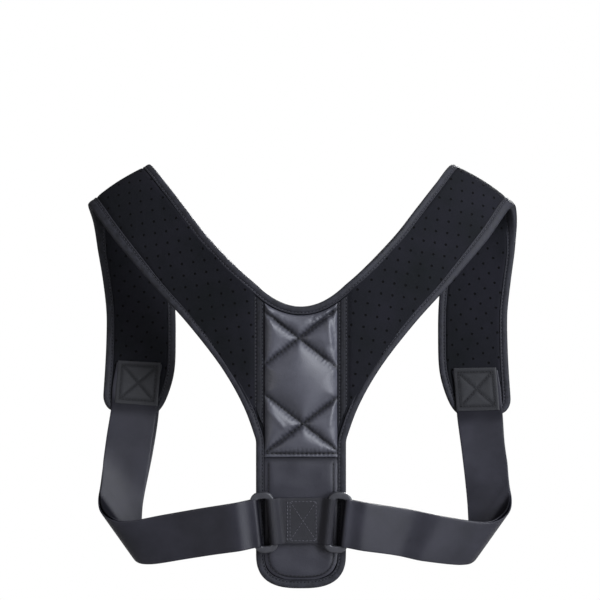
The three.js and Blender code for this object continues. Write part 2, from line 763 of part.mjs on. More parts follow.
const bands = SIDES.map(strapBand);
piece(brace, "spine_panel", spinePanelGeometry(), "padding");
piece(brace, "quilted_pad", quiltedPadGeometry(), "leather");
piece(brace, "tail_pad", tailPadGeometry(), "leather");
piece(brace, "neck_binding", neckBindingGeometry(bands), "binding");
piece(brace, "body_binding", bodyBindingGeometry(bands), "binding");
piece(brace, "ring_holder", ringHolderGeometry(), "webbing");

SIDES.forEach((side, i) => {
  const half = new THREE.Group();
  half.scale.x = side.mirror;
  brace.add(half);
  piece(half, `shoulder_strap_${side.name}`, strapGeometry(bands[i]), "padding");
  piece(half, `seam_tape_${side.name}`, seamTapeGeometry(), "binding");
  piece(half, `webbing_${side.name}`, webbingGeometry(webbingRoute(bands[i], side)), "webbing");
  piece(half, `strap_patch_${side.name}`, strapPatchGeometry(bands[i]), "leather");
  const ring = piece(half, `ring_${side.name}`, ringGeometry(), "plastic");
  ring.position.copy(ringPlace().centre);
  ring.rotation.y = RING.tilt;
});

export default group;
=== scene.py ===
"""Upper back brace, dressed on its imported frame.

Sizes are millimetres in the panel's own space: x to the wearer's right, y towards the chest and z
up from the tail's lowest point. A vertex is put into the part's frame, in metres, when it is laid.
"""
import logging
import math
from collections.abc import Callable, Iterator, Sequence
from contextlib import contextmanager
from dataclasses import dataclass, field
from enum import Enum
from functools import lru_cache

import bpy
import numpy as np
from mathutils import Matrix, Vector


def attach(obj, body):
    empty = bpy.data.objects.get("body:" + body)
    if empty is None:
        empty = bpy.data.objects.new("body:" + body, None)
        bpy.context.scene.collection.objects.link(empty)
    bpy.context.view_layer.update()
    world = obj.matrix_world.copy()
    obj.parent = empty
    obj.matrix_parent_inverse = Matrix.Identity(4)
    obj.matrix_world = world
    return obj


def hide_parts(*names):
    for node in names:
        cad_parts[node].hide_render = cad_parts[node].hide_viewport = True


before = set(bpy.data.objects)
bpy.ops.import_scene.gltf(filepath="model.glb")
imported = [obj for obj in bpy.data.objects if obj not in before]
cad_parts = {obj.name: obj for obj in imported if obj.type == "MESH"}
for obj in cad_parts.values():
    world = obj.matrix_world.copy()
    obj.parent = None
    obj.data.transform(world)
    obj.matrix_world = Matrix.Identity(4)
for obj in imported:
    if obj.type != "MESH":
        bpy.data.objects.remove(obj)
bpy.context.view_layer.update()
log = logging.getLogger("brace")

Piece = bpy.types.Object
Node = bpy.types.Node
Socket = bpy.types.NodeSocket
Point = tuple[float, float, float]
Spot = tuple[float, float]
Tint = tuple[float, float, float]
Run = list[tuple[Vector, Vector]]
# A row of a band's table: neck edge, arm edge and two values of its own
Row = tuple[Point, Point, float, float]

MM = 0.001
WELD = 1e-6
CARRY = Vector((0.0, 58.0, 399.5))
BACKWARDS = Vector((0, -1, 0))
CHESTWARDS = Vector((0, 1, 0))
QUARTER = math.pi / 2
BODY = "root"
FLAT = "flat"
# Vertex attribute that holds the depth of painted shade in creases, seams and folded edges
PAINTED_SHADE = "crease"
WHITE = (1, 1, 1, 1)
# Dark colour that painted shade in creases, seams and folded edges goes towards
PAINTED_SHADE_TINT = (0.0032, 0.0032, 0.0044, 1)
HOLE_TINT = (0.0012, 0.0012, 0.0014, 1)
# Corners that the rows of a crossed box of stitches join
BOX_ROWS = ((0, 1), (1, 2), (2, 3), (3, 0), (0, 2), (1, 3))


class Side(Enum):
    """One half of the brace; both are made on the positive side and the left one is mirrored."""

    LEFT = "left"
    RIGHT = "right"

    @property
    def mirror(self) -> int:
        """Sign of the half's x."""
        return 1 if self is Side.RIGHT else -1

    @property
    def drift(self) -> float:
        """Sideways lean of the front strap, away from the spine."""
        return CUT.lean * self.mirror

    @property
    def hang(self) -> float:
        """How much higher the arm's edge of the front strap hangs than its table says."""
        return CUT.left_hang if self is Side.LEFT else 0.0


class Layer(Enum):
    """Face of a band that a layer lies on."""

    CHEST = 1
    BODY_SIDE = -1


@dataclass(frozen=True)
class Cut:
    """Sizes that several pieces share."""

    gap: float = 0.3
    edge_half: float = 2.1  # Half thickness of the padding inside the binding
    pad_half: float = 3.9
    wall: float = 1.1
    leg: float = 8.3
    lip: float = 1.8  # Depth at which the padding ends inside the fold
    seam_x: float = 44.0
    panel_half: float = 45.0
    neck_low: float = 281.5
    neck_rise: float = 21.5
    tail_height: float = 36.0
    squareness: float = 2.7
    neck_corner: Spot = (20.0, 60.0)
    arm_corner: Spot = (13.0, 17.0)
    web_width: float = 47.5
    web_half: float = 0.8
    lean: float = 6.3  # Sideways lean of both front straps, to the wearer's right
    left_hang: float = 3.6  # How much higher the left front strap's outer edge hangs
    hang_rows: Spot = (9, 12)

    @property
    def binding_half(self) -> float:
        """Half thickness over the folded binding."""
        return self.edge_half + self.lip

    @property
    def back_face(self) -> float:
        """Depth of the covers' underside behind the panel."""
        return -(self.edge_half + self.gap)


CUT = Cut()

# Strap sections from the seam over the shoulder to the end: neck edge, arm edge, lean, arch
STRAP_ROWS: tuple[Row, ...] = (
    ((44, 0, 303), (45, 0, 148), 0, 0),
    ((59, 0, 316), (57, 0, 181), 0, 0),
    ((75.5, 3.5, 332), (77, 2, 217), 0, 0.4),
    ((97.5, 11.5, 356), (112.5, 7.5, 263), 0, 1.1),
    ((116.5, 21, 380.5), (151.5, 17, 305.5), 0, 1.8),
    ((136.5, 35, 405.5), (190, 31, 349.5), 0, 2.5),
    ((155, 59, 426), (219, 58, 384.5), 0, 2.8),
    ((157, 87, 409), (222.5, 84, 368), 0.7, 2.1),
    ((153.5, 97, 371), (221, 91.5, 342), 0.9, 1.1),
    ((145, 99, 326.5), (216, 92, 308), 1, 0.4),
    ((140, 97, 283.5), (212, 89, 274), 1, 0),
    ((139, 93, 244.5), (211.5, 84, 242.5), 1, 0),
    ((139.5, 88, 212.2), (212, 78, 213.8), 1, 0),
    ((141.5, 84, 189.2), (213, 74, 191.4), 1, 0),
    ((143, 80.5, 166.6), (214, 70.5, 169.2), 1, 0),
)
STRAP_END = len(STRAP_ROWS) - 1
# Rows above a strap's end whose distances from it are measured, and the steps for that
END_ROWS, END_STEPS = 5, 200


def smoothstep(value: float, low: float, high: float) -> float:
    """Eased share of a value between two limits.

    Args:
        value: Value to place.
        low: Limit at which the share is 0.
        high: Limit at which the share is 1.

    Returns:
        Share from 0 to 1.
    """
    share = min(max((value - low) / (high - low), 0.0), 1.0)
    return share * share * (3 - 2 * share)


def bell(value: float, width: float) -> float:
    """Bell curve that is 1 at 0 and falls off over a width."""
    return math.exp(-(value / width) ** 2)


def rounded(share: float) -> float:
    """Other share of the tail's rounded outline at a share of its width or height."""
    return (1 - share ** CUT.squareness) ** (1 / CUT.squareness)


def mix(low: float, high: float, share: float) -> float:
    """Value at a share of the way from low to high."""
    return low + (high - low) * share


def steps(count: int, low: float = 0.0, high: float = 1.0) -> list[float]:
    """Evenly spaced values from low to high, both included."""
    return [mix(low, high, i / count) for i in range(count + 1)]


def runs(points: Sequence[Vector]) -> np.ndarray:
    """Distance of each point of a path from its start, along the path."""
    gaps = np.linalg.norm(np.diff(np.array(points), axis=0), axis=1)
    return np.concatenate([[0], np.cumsum(gaps)])


def corners(left: float, right: float, low: float, high: float) -> list[Spot]:
    """Corners of an upright rectangle, in order round it."""
    return [(left, low), (right, low), (right, high), (left, high)]


def on_cloth(x: float, z: float) -> Spot:
    """Flat place, in metres, of a spot on the panel's plane."""
    return x * MM, z * MM


def part_point(point: Vector, mirror: int = 1) -> Vector:
    """Place in the part's frame, in metres, of a point on the half with a sign."""
    return (Vector((point.x * mirror, point.y, point.z)) - CARRY) * MM


class Rail:
    """Smooth curve through the points of a table."""

    def __init__(self, points: Sequence[Vector]) -> None:
        """Keeps the points and one more beyond each end.

        Args:
            points: Points that the curve goes through.
        """
        first, last = 2 * points[0] - points[1], 2 * points[-1] - points[-2]
        self.points = [first, *points, last]
        self.last = len(points) - 1

    def at(self, row: float) -> Vector:
        """Point at a row of the table, whole or between.

        Args:
            row: Row of the table.

        Returns:
            The point of the curve there.
        """
        here = min(max(int(math.floor(row)), 0), self.last - 1)
        a, b, c, d = self.points[here:here + 4]
        before, span, after = (math.sqrt((q - p).length) for p, q in ((a, b), (b, c), (c, d)))
        leave = ((b - a) / before - (c - a) / (before + span) + (c - b) / span) * span
        meet = ((c - b) / span - (d - b) / (span + after) + (d - c) / after) * span
        t = row - here
        square = 3 * (c - b) - 2 * leave - meet
        cube = 2 * (b - c) + leave + meet
        return b + leave * t + square * t * t + cube * t ** 3


@dataclass(frozen=True)
class Section:
    """A band's section: both edges, how they advance, the way across, the width and the arch."""

    neck: Vector
    arm: Vector
    neck_rate: Vector
    arm_rate: Vector
    across: Vector
    width: float
    crown: float


@dataclass(frozen=True)
class Station:
    """An edge's place with the way into the piece and the outward normal."""

    point: Vector
    inward: Vector
    normal: Vector

    def mirrored(self) -> "Station":
        """The same station on the other half."""
        return Station(*(Vector((-v.x, v.y, v.z)) for v in (self.point, self.inward, self.normal)))

    def at(self, inward: float, lift: float) -> Vector:
        """Point at a distance inwards and a height over the piece's middle."""
        return self.point + self.inward * inward + self.normal * lift


class Band:
    """Surface between two rails, which may arch outwards between its edges."""

    RATE = 0.001
    UNROLL_STEPS = 40

    def __init__(self, necks: Sequence[Vector], arms: Sequence[Vector],
                 crowns: Sequence[float]) -> None:
        """Lays the rails through the sections of a table.

        Args:
            necks: Points of the edge nearer the neck.
            arms: Points of the other edge.
            crowns: Height of the arch at each section.
        """
        self.neck, self.arm = Rail(necks), Rail(arms)
        self.crowns = crowns
        self.last = len(necks) - 1
        rows = steps(self.UNROLL_STEPS * self.last, 0, self.last)
        self.rows = np.array(rows)
        self.unrolled = self.unroll([(self.neck.at(row), self.arm.at(row)) for row in rows])

    @staticmethod
    def unroll(sections: Sequence[tuple[Vector, Vector]]) -> np.ndarray:
        """Lays the band flat without stretching it.

        Args:
            sections: Both edges of closely spaced sections.

        Returns:
            Flat places of both edges, as complex numbers.
        """
        def ahead(first: complex, second: complex, to_first: float, to_second: float) -> complex:
            line = second - first
            along = (to_first ** 2 - to_second ** 2 + abs(line) ** 2) / (2 * abs(line))
            aside = math.sqrt(max(to_first ** 2 - along ** 2, 0.0))
            return first + line / abs(line) * complex(along, aside)

        flat = [tuple(complex(edge.x, edge.z) for edge in sections[0])]
        for (neck, arm), (next_neck, next_arm) in zip(sections, sections[1:]):
            here, across = flat[-1]
            far = ahead(here, across, (next_arm - neck).length, (next_arm - arm).length)
            near = ahead(here, far, (next_neck - neck).length, (next_neck - next_arm).length)
            flat.append((near, far))
        return np.array(flat)

    @lru_cache(maxsize=None)
    def section(self, row: float) -> Section:
        """Section at a row.

        Args:
            row: Row of the band's table.

        Returns:
            The section there.
        """
        row = min(max(row, 0.0), self.last)
        neck, arm = self.neck.at(row), self.arm.at(row)
        before = max(row - self.RATE * self.last, 0.0)
        after = min(row + self.RATE * self.last, self.last)
        here = min(int(row), self.last - 1)
        crown = mix(self.crowns[here], self.crowns[here + 1], smoothstep(row - here, 0, 1))
        rates = (rail.at(after) - rail.at(before) for rail in (self.neck, self.arm))
        return Section(neck, arm, *rates, (arm - neck).normalized(), (arm - neck).length, crown)

    def normal(self, row: float, distance: float) -> Vector:
        """Outward normal at a distance from the neck edge, before the arch."""
        at = self.section(row)
        return at.across.cross(at.neck_rate.lerp(at.arm_rate, distance / at.width)).normalized()

    def point(self, row: float, distance: float, lift: float) -> Vector:
        """Point over the band.

        Args:
            row: Row of the band's table.
            distance: Distance from the neck edge.
            lift: Height above the arched middle surface.

        Returns:
            The point in the panel's space.
        """
        at = self.section(row)
        arch = at.crown * (1 - (2 * distance / at.width - 1) ** 2)
        return at.neck + at.across * distance + self.normal(row, distance) * (arch + lift)

    def along(self, row: float) -> Vector:
        """Direction in which the middle of the band advances."""
        at = self.section(row)
        return self.normal(row, at.width / 2).cross(at.across)

    def edge(self, row: float, is_arm: bool) -> Station:
        """Station on one of the edges.

        Args:
            row: Row of the band's table.
            is_arm: Whether it is the edge on the arm's side.

        Returns:
            The edge's place, its way inwards and its normal.
        """
        at = self.section(row)
        rate = (at.arm_rate if is_arm else at.neck_rate).normalized()
        place = at.arm if is_arm else at.neck
        inward = self.point(row, at.width - CUT.leg if is_arm else CUT.leg, 0) - place
        inward = (inward - rate * inward.dot(rate)).normalized()
        return Station(place, inward, inward.cross(rate) * (-1 if is_arm else 1))

    def flat(self, row: float, distance: float) -> Spot:
        """Place on the unrolled band, in metres."""
        near, far = (complex(np.interp(row, self.rows, edge)) for edge in self.unrolled.T)
        spot = mix(near, far, distance / self.section(row).width) * MM
        return spot.real, spot.imag


def strap_band(side: Side) -> Band:
    """Band of a shoulder strap.

    Args:
        side: Half of the brace.

    Returns:
        The band from the seam to the strap's end.
    """
    def leaned(edge: int) -> list[Vector]:
        return [Vector(row[edge]) + Vector((side.drift * row[2], 0,
                                            side.hang * edge * smoothstep(k, *CUT.hang_rows)))
                for k, row in enumerate(STRAP_ROWS)]

    return Band(leaned(0), leaned(1), [row[3] for row in STRAP_ROWS])


@lru_cache(maxsize=None)
def end_marks(band: Band) -> tuple[np.ndarray, list[float]]:
    """Distances above a strap's end, rising, and the rows of its table there."""
    rows = steps(END_STEPS, STRAP_END, STRAP_END - END_ROWS)
    return runs([band.section(row).neck.lerp(band.section(row).arm, 0.5) for row in rows]), rows


def row_above_end(band: Band, distance: float) -> float:
    """Row of a strap at a short distance above its end."""
    return float(np.interp(distance, *end_marks(band)))


def panel_station(x: float, z: float, inward_x: float, inward_z: float) -> Station:
    """Edge station in the plane of the spine panel."""
    inward = Vector((inward_x, 0, inward_z)).normalized()
    return Station(Vector((x, 0, z)), inward, BACKWARDS)


def neck_station(x: float) -> Station:
    """Station on the neckline of the panel at a distance from its middle."""
    slope = 2 * CUT.neck_rise * x / CUT.seam_x ** 2
    return panel_station(x, CUT.neck_low + CUT.neck_rise * (x / CUT.seam_x) ** 2, slope, -1)


def tail_station(turn: float) -> Station:
    """Station on the rounded tail.

    Args:
        turn: Angle from the lowest point, a quarter turn at the side.

    Returns:
        The station there.
    """
    power = 2 / CUT.squareness
    sign, sideways, down = math.copysign(1, turn), abs(math.sin(turn)), max(math.cos(turn), 0.0)
    return panel_station(CUT.panel_half * sign * sideways ** power,
                         CUT.tail_height * (1 - down ** power),
                         -sign * sideways ** (2 - power) / CUT.panel_half,
                         down ** (2 - power) / CUT.tail_height)


def quilt_top(x: float) -> float:
    """Height of the covers' upper edge, just under the neck binding."""
    station = neck_station(x)
    return station.point.z + (CUT.leg + CUT.gap) / station.inward.z - CUT.gap


def activate(piece: Piece) -> None:
    """Selects one piece alone and makes it the active one."""
    bpy.ops.object.select_all(action="DESELECT")
    piece.select_set(True)
    bpy.context.view_layer.objects.active = piece


@contextmanager
def editing(piece: Piece) -> Iterator[None]:
    """Keeps one piece in edit mode for a block of code."""
    activate(piece)
    bpy.ops.object.mode_set(mode="EDIT")
    yield
    bpy.ops.object.mode_set(mode="OBJECT")


def cut_sheet(name: str, columns: int, rows: int, place: Callable[[int, int], Vector],
              flat: Callable[[int, int], Spot], mirror: int = 1,
              shade: Callable[[int, int], float] | None = None) -> Piece:
    """Adds a grid and lays its vertices on a shape.

    Args:
        name: Name of the piece.
        columns: Squares across.
        rows: Squares along.
        place: Gives the place of a grid vertex in the panel's millimetres.
        flat: Gives the vertex's place on the flat cloth in metres.
        mirror: Sign of the half that the piece belongs to.
        shade: Gives the depth of the painted shade at the vertex, from 0 to 1.

    Returns:
        The new piece, with its flat places as a UV map.
    """
    bpy.ops.object.select_all(action="DESELECT")
    bpy.ops.mesh.primitive_grid_add(x_subdivisions=columns, y_subdivisions=rows, size=2)
    piece = bpy.context.active_object
    mesh = piece.data
    piece.name = mesh.name = name
    spots = [(round((v.co.x + 1) / 2 * columns), round((v.co.y + 1) / 2 * rows))
             for v in mesh.vertices]
    mesh.uv_layers.active.name = FLAT
    flats = [flat(*spot) for spot in spots]
    places = [part_point(place(*spot), mirror) for spot in spots]
    mesh.uv_layers[FLAT].data.foreach_set(
        "uv", [c for loop in mesh.loops for c in flats[loop.vertex_index]])
    mesh.vertices.foreach_set("co", [c for at in places for c in at])
    if shade:
        mark_painted_shade(piece, [shade(*spot) for spot in spots])
    mesh.update()
    return piece


def cut_skin(name: str, count: int, rows: int, place: Callable[[int, int, int], Vector],
             flat: Callable[[int, int], Spot], mirror: int = 1,
             shade: Callable[[int, int], float] | None = None) -> Piece:
    """Adds a closed skin with two faces that have the same points across.

    Args:
        name: Name of the piece.
        count: Points across each face.
        rows: Squares along.
        place: Gives the place of a point across at a row, on the face 1 or -1.
        flat: Gives the flat place of a point across at a row.
        mirror: Sign of the half that the piece belongs to.
        shade: Gives the depth of the painted shade at a point across and a row.

    Returns:
        The new piece.
    """
    def across(i: int) -> int:
        i %= 2 * count
        return min(i, 2 * count - 1 - i)

    def face(i: int) -> int:
        return 1 if i % (2 * count) < count else -1

    piece = cut_sheet(name, 2 * count, rows, lambda i, j: place(across(i), j, face(i)),
                      lambda i, j: flat(across(i), j), mirror,
                      shade and (lambda i, j: shade(across(i), j)))
    close_skin(piece)
    return piece


def mark_painted_shade(piece: Piece, depths: Sequence[float]) -> None:
    """Stores the depth of the painted shade at each vertex, from 0 to 1."""
    layer = piece.data.attributes.new(PAINTED_SHADE, "FLOAT", "POINT")
    layer.data.foreach_set("value", depths)


def panel_places(piece: Piece) -> list[Vector]:
    """Places of a piece's vertices in the panel's millimetres."""
    return [v.co / MM + CARRY for v in piece.data.vertices]


def subdivide(piece: Piece) -> None:
    """Subdivides a piece once with its corners kept."""
    activate(piece)
    bpy.ops.object.modifier_add(type="SUBSURF")
    modifier = piece.modifiers[-1]
    modifier.levels = modifier.render_levels = 1
    modifier.boundary_smooth = "PRESERVE_CORNERS"
    bpy.ops.object.modifier_apply(modifier=modifier.name)


def smooth(piece: Piece, angle: float = 50.0) -> None:
    """Shades a piece smooth up to an angle in degrees."""
    activate(piece)
    bpy.ops.object.shade_smooth_by_angle(angle=math.radians(angle))


def select_rim() -> None:
    """Selects the open edges of the piece in edit mode."""
    bpy.ops.mesh.select_all(action="DESELECT")
    bpy.ops.mesh.select_non_manifold(extend=False, use_wire=False, use_multi_face=False,
                                     use_non_contiguous=False, use_verts=False)


def turn_outwards() -> None:
    """Turns all faces of the piece in edit mode outwards."""
    bpy.ops.mesh.select_all(action="SELECT")
    bpy.ops.mesh.normals_make_consistent(inside=False)


def close_skin(piece: Piece, is_ring: bool = False) -> None:
    """Joins the long edges of a rolled sheet, refines it and caps its ends.

    Args:
        piece: Rolled sheet.
        is_ring: Whether its ends meet too, so that it needs no caps.
    """
    with editing(piece):
        bpy.ops.mesh.select_all(action="SELECT")
        bpy.ops.mesh.remove_doubles(threshold=WELD)
    subdivide(piece)
    with editing(piece):
        if not is_ring:
            select_rim()
            bpy.ops.mesh.fill_holes(sides=0)
        turn_outwards()
    smooth(piece)


def line_back(piece: Piece) -> None:
    """Closes a cover with a wall to the panel and a flat back."""
    with editing(piece):
        select_rim()
        bpy.ops.mesh.extrude_edges_move()
    for vertex in piece.data.vertices:
        if vertex.select:
            vertex.co.y = (CUT.back_face - CARRY.y) * MM
    with editing(piece):
        bpy.ops.mesh.fill_holes(sides=0)
        turn_outwards()
    smooth(piece)


def enlist(piece: Piece, finish: "Finish", node: str | None = None) -> Piece:
    """Gives a piece its finish and its place in the frame.

    Args:
        piece: Finished piece.
        finish: Its finish.
        node: Node of the frame that it stands for, if any.

    Returns:
        The piece.
    """
    piece.data.materials.clear()
    piece.data.materials.append(finish.material())
    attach(piece, BODY)
    if node:
        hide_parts(node)
    log.info("%s: %d faces, finish %s", piece.name, len(piece.data.polygons), finish.name)
    return piece


class Board:
    """A node tree with short ways to add and join its nodes."""

    def __init__(self, tree: bpy.types.NodeTree) -> None:
        """Takes the tree to work on."""
        self.tree = tree

    @classmethod
    def of(cls, owner: bpy.types.Material | bpy.types.World) -> "Board":
        """Empties the nodes of a material or world and gives their board."""
        owner.use_nodes = True
        owner.node_tree.nodes.clear()
        return cls(owner.node_tree)

    def add(self, kind: str, inputs: dict[str | int, object] | None = None,
            **settings: object) -> Node:
        """Adds a node.

        Args:
            kind: Blender's name of the node's type, without its prefix.
            inputs: Values or sockets for the node's inputs.
            settings: Properties of the node.

        Returns:
            The new node.
        """
        node = self.tree.nodes.new(kind if kind.startswith("Node") else f"ShaderNode{kind}")
        for key, value in settings.items():
            setattr(node, key, value)
        self.feed(node, inputs or {})
        return node

    def feed(self, node: Node, inputs: dict[str | int, object]) -> None:
        """Gives a node's inputs their values, or joins sockets to them.

        Args:
            node: Node to feed.
            inputs: Values or sockets for its inputs.
        """
        for key, value in inputs.items():
            if isinstance(value, Socket):
                self.tree.links.new(value, node.inputs[key])
            else:
                node.inputs[key].default_value = value

    def math(self, operation: str, first: object, second: object = 0.0) -> Socket:
        """Adds a sum on two values or sockets and returns its result."""
        return self.add("Math", {0: first, 1: second}, operation=operation).outputs[0]

    def blend(self, share: object, first: object, second: object, kind: str = "MIX") -> Socket:
        """Adds a mix of two colours and returns its result."""
        inputs = {0: share, 6: first, 7: second}
        return self.add("Mix", inputs, data_type="RGBA", blend_type=kind).outputs[2]

    def ramp(self, value: Socket, start: float = 0.0, end: float = 1.0, low: float = 0.0,
             high: float = 1.0, kind: str = "LINEAR") -> Socket:
        """Adds a change of range.

        Args:
            value: Value to change.
            start: Value that becomes the low one.
            end: Value that becomes the high one.
            low: Result at the start.
            high: Result at the end.
            kind: How the result runs between them.

        Returns:
            The result's socket.
        """
        inputs = {0: value, 1: start, 2: end, 3: low, 4: high}
        return self.add("MapRange", inputs, interpolation_type=kind).outputs[0]

    def noise(self, place: Socket, scale: object, detail: float, roughness: float = 0.5) -> Node:
        """Adds a noise with changes per metre, octaves and their weight."""
        return self.add("TexNoise", {"Vector": place, "Scale": scale, "Detail": detail,
                                     "Roughness": roughness})

    def vector(self, operation: str, inputs: dict[str | int, object]) -> Node:
        """Adds a sum on vectors."""
        return self.add("VectorMath", inputs, operation=operation)


def effect(name: str, inputs: dict[str, tuple[str, object]],
           outputs: dict[str, str]) -> tuple[Board, dict[str, Socket], Node]:
    """Starts a shader node group.

    Args:
        name: Name of the group.
        inputs: Kind and first value of each input.
        outputs: Kind of each output.

    Returns:
        The group's board, the sockets of its inputs and the node that takes its outputs.
    """
    tree = bpy.data.node_groups.new(name, "ShaderNodeTree")
    for key, (kind, value) in inputs.items():
        socket = tree.interface.new_socket(key, in_out="INPUT", socket_type=f"NodeSocket{kind}")
        if value is not None:
            socket.default_value = value
    for key, kind in outputs.items():
        tree.interface.new_socket(key, in_out="OUTPUT", socket_type=f"NodeSocket{kind}")
    board = Board(tree)
    entry, leave = board.add("NodeGroupInput"), board.add("NodeGroupOutput")
    return board, {key: entry.outputs[key] for key in inputs}, leave


@lru_cache(maxsize=None)
def weave_effect() -> bpy.types.NodeTree:
    """Group for woven and knitted faces: thread height, and painted shade between the threads with
    a painted highlight on them, from two thread counts.
    """
    board, given, result = effect(
        "Woven threads",
        {"Place": ("Vector", None), "Across": ("Float", 1000.0), "Along": ("Float", 1000.0),
         "Rib": ("Float", 0.0), "Lumps": ("Float", 40.0), "Soft": ("Float", 0.0)},
        {"Height": "Float", "Shade": "Float"})
    place = board.add("SeparateXYZ", {0: given["Place"]})
    counts = (board.math("MULTIPLY", axis, given[key])
              for axis, key in zip(place.outputs, ("Across", "Along")))
    across, along = (board.math("SINE", board.math("MULTIPLY", count, math.pi)) for count in counts)
    plain = board.math("ABSOLUTE", board.math("MULTIPLY", across, along))
    rib = board.math("ABSOLUTE", along)
    threads = board.add("Mix", {0: given["Rib"], 2: plain, 3: rib}, data_type="FLOAT").outputs[0]
    lump = board.noise(given["Place"], given["Lumps"], detail=3.0).outputs["Fac"]
    height = board.math("ADD", threads, board.math("MULTIPLY", lump, given["Soft"]))
    board.feed(result, {"Height": height, "Shade": board.ramp(threads, low=0.72, high=1.12)})
    return board.tree


@lru_cache(maxsize=None)
def grain_effect() -> bpy.types.NodeTree:
    """Group for coated leather: pebble height and the painted shade of its creases."""
    board, given, result = effect(
        "Leather grain", {"Place": ("Vector", None), "Scale": ("Float", 900.0)},
        {"Height": "Float", "Shade": "Float"})
    warp = board.noise(given["Place"], 260.0, detail=3.0).outputs["Color"]
    moved = board.vector("SCALE", {0: warp, "Scale": 0.0016}).outputs[0]
    place = board.vector("ADD", {0: given["Place"], 1: moved}).outputs[0]
    cell = board.add("TexVoronoi", {"Vector": place, "Scale": given["Scale"]},
                     feature="DISTANCE_TO_EDGE")
    pebble = board.ramp(cell.outputs["Distance"], end=0.22, kind="SMOOTHSTEP")
    soft = board.noise(given["Place"], 120.0, detail=4.0).outputs["Fac"]
    height = board.math("ADD", pebble, board.math("MULTIPLY", soft, 0.6))
    board.feed(result, {"Height": height, "Shade": board.ramp(pebble, low=0.8, high=1.05)})
    return board.tree


@lru_cache(maxsize=None)
def fade_effect() -> bpy.types.NodeTree:
    """Group for uneven dye: a slow drift between two tints with a little lint."""
    board, given, result = effect(
        "Uneven dye",
        {"Place": ("Vector", None), "Scale": ("Float", 20.0), "Deep": ("Color", None),
         "Pale": ("Color", None)},
        {"Color": "Color", "Patch": "Float"})
    slow = board.noise(given["Place"], given["Scale"], detail=4.0, roughness=0.6)
    patch = board.ramp(slow.outputs["Fac"], start=0.32, end=0.68)
    lint = board.noise(given["Place"], 2400.0, detail=1.0)
    speck = board.ramp(lint.outputs["Fac"], start=0.62, end=0.78)
    share = board.math("ADD", patch, board.math("MULTIPLY", speck, 0.35))
    color = board.blend(board.math("MINIMUM", share, 1.0), given["Deep"], given["Pale"])
    board.feed(result, {"Color": color, "Patch": patch})
    return board.tree


@lru_cache(maxsize=None)
def painted_seam_shade() -> bpy.types.NodeTree:
    """Group that paints shade along seams and folded edges, darkening a colour towards a dark tint.
    """
    board, given, result = effect(
        "Seam shade",
        {"Color": ("Color", None), "Crease": ("Float", 0.0), "Depth": ("Float", 0.8)},
        {"Color": "Color"})
    share = board.math("MULTIPLY", given["Crease"], given["Depth"])
    board.feed(result, {"Color": board.blend(share, given["Color"], PAINTED_SHADE_TINT)})
    return board.tree


@lru_cache(maxsize=None)
def speckle_effect() -> bpy.types.NodeTree:
    """Group for the fine unevenness of moulded and spun surfaces."""
    board, given, result = effect(
        "Fine speckle", {"Place": ("Vector", None), "Scale": ("Float", 1500.0)},
        {"Height": "Float"})
    fine = board.noise(given["Place"], given["Scale"], detail=2.0)
    board.feed(result, {"Height": fine.outputs["Fac"]})
    return board.tree


@dataclass(frozen=True)
class Finish:
    """Look of one material."""

    name: str
    slot: str
    deep: Tint
    pale: Tint
    roughness: Spot
    specular: float = 0.5
    drift: float = 20.0
    relief: float = 0.0002
    bump: float = 0.12

    @lru_cache(maxsize=None)
    def material(self) -> bpy.types.Material:
        """The finish's material, made once."""
        material = bpy.data.materials.new(self.name)
        board = Board.of(material)
        shader = board.add("BsdfPrincipled", {"Specular IOR Level": self.specular})
        board.add("OutputMaterial", {"Surface": shader.outputs[0]}, is_active_output=True)
        place = board.add("TexCoord").outputs["Object"]
        dye = board.add("Group", {"Place": place, "Scale": self.drift, "Deep": (*self.deep, 1),
                                  "Pale": (*self.pale, 1)}, node_tree=fade_effect())
        low, high = self.roughness
        rough = board.ramp(dye.outputs["Patch"], low=low, high=high)
        color, height = self.texture(board, shader, place, dye.outputs["Color"])
        bump = board.add("Bump", {"Height": height, "Strength": self.bump,
                                  "Distance": self.relief})
        board.feed(shader, {"Base Color": color, "Roughness": rough, "Normal": bump.outputs[0]})
        return material

    def texture(self, board: Board, shader: Node, place: Socket,
                color: Socket) -> tuple[Socket, Socket]:
        """Adds what the surface shows close up.

        Args:
            board: Board of the material.
            shader: Shader of the material; not used here.
            place: Object coordinates.
            color: Dyed colour.

        Returns:
            The finished colour and the height of the surface.
        """
        fine = board.add("Group", {"Place": place}, node_tree=speckle_effect())
        return color, fine.outputs["Height"]

    @staticmethod
    def seams(board: Board, shader: Node, color: Socket, depth: float) -> Socket:
        """Paints shade: darkens a colour and the mirror light where the piece is marked as creased.

        Args:
            board: Board of the material.
            shader: Shader to feed.
            color: Colour of the open surface.
            depth: Darkness of the painted shade in the deepest crease.

        Returns:
            The shaded colour.
        """
        # Painted shade: the crease mask darkens the colour and, through Specular Tint, the
        # reflection too
        crease = board.add("Attribute", attribute_name=PAINTED_SHADE).outputs["Fac"]
        shaded, shaded_gloss = (
            board.add("Group", {"Color": whole, "Crease": crease, "Depth": depth},
                      node_tree=painted_seam_shade()).outputs["Color"] for whole in (color, WHITE))
        board.feed(shader, {"Specular Tint": shaded_gloss})
        return shaded


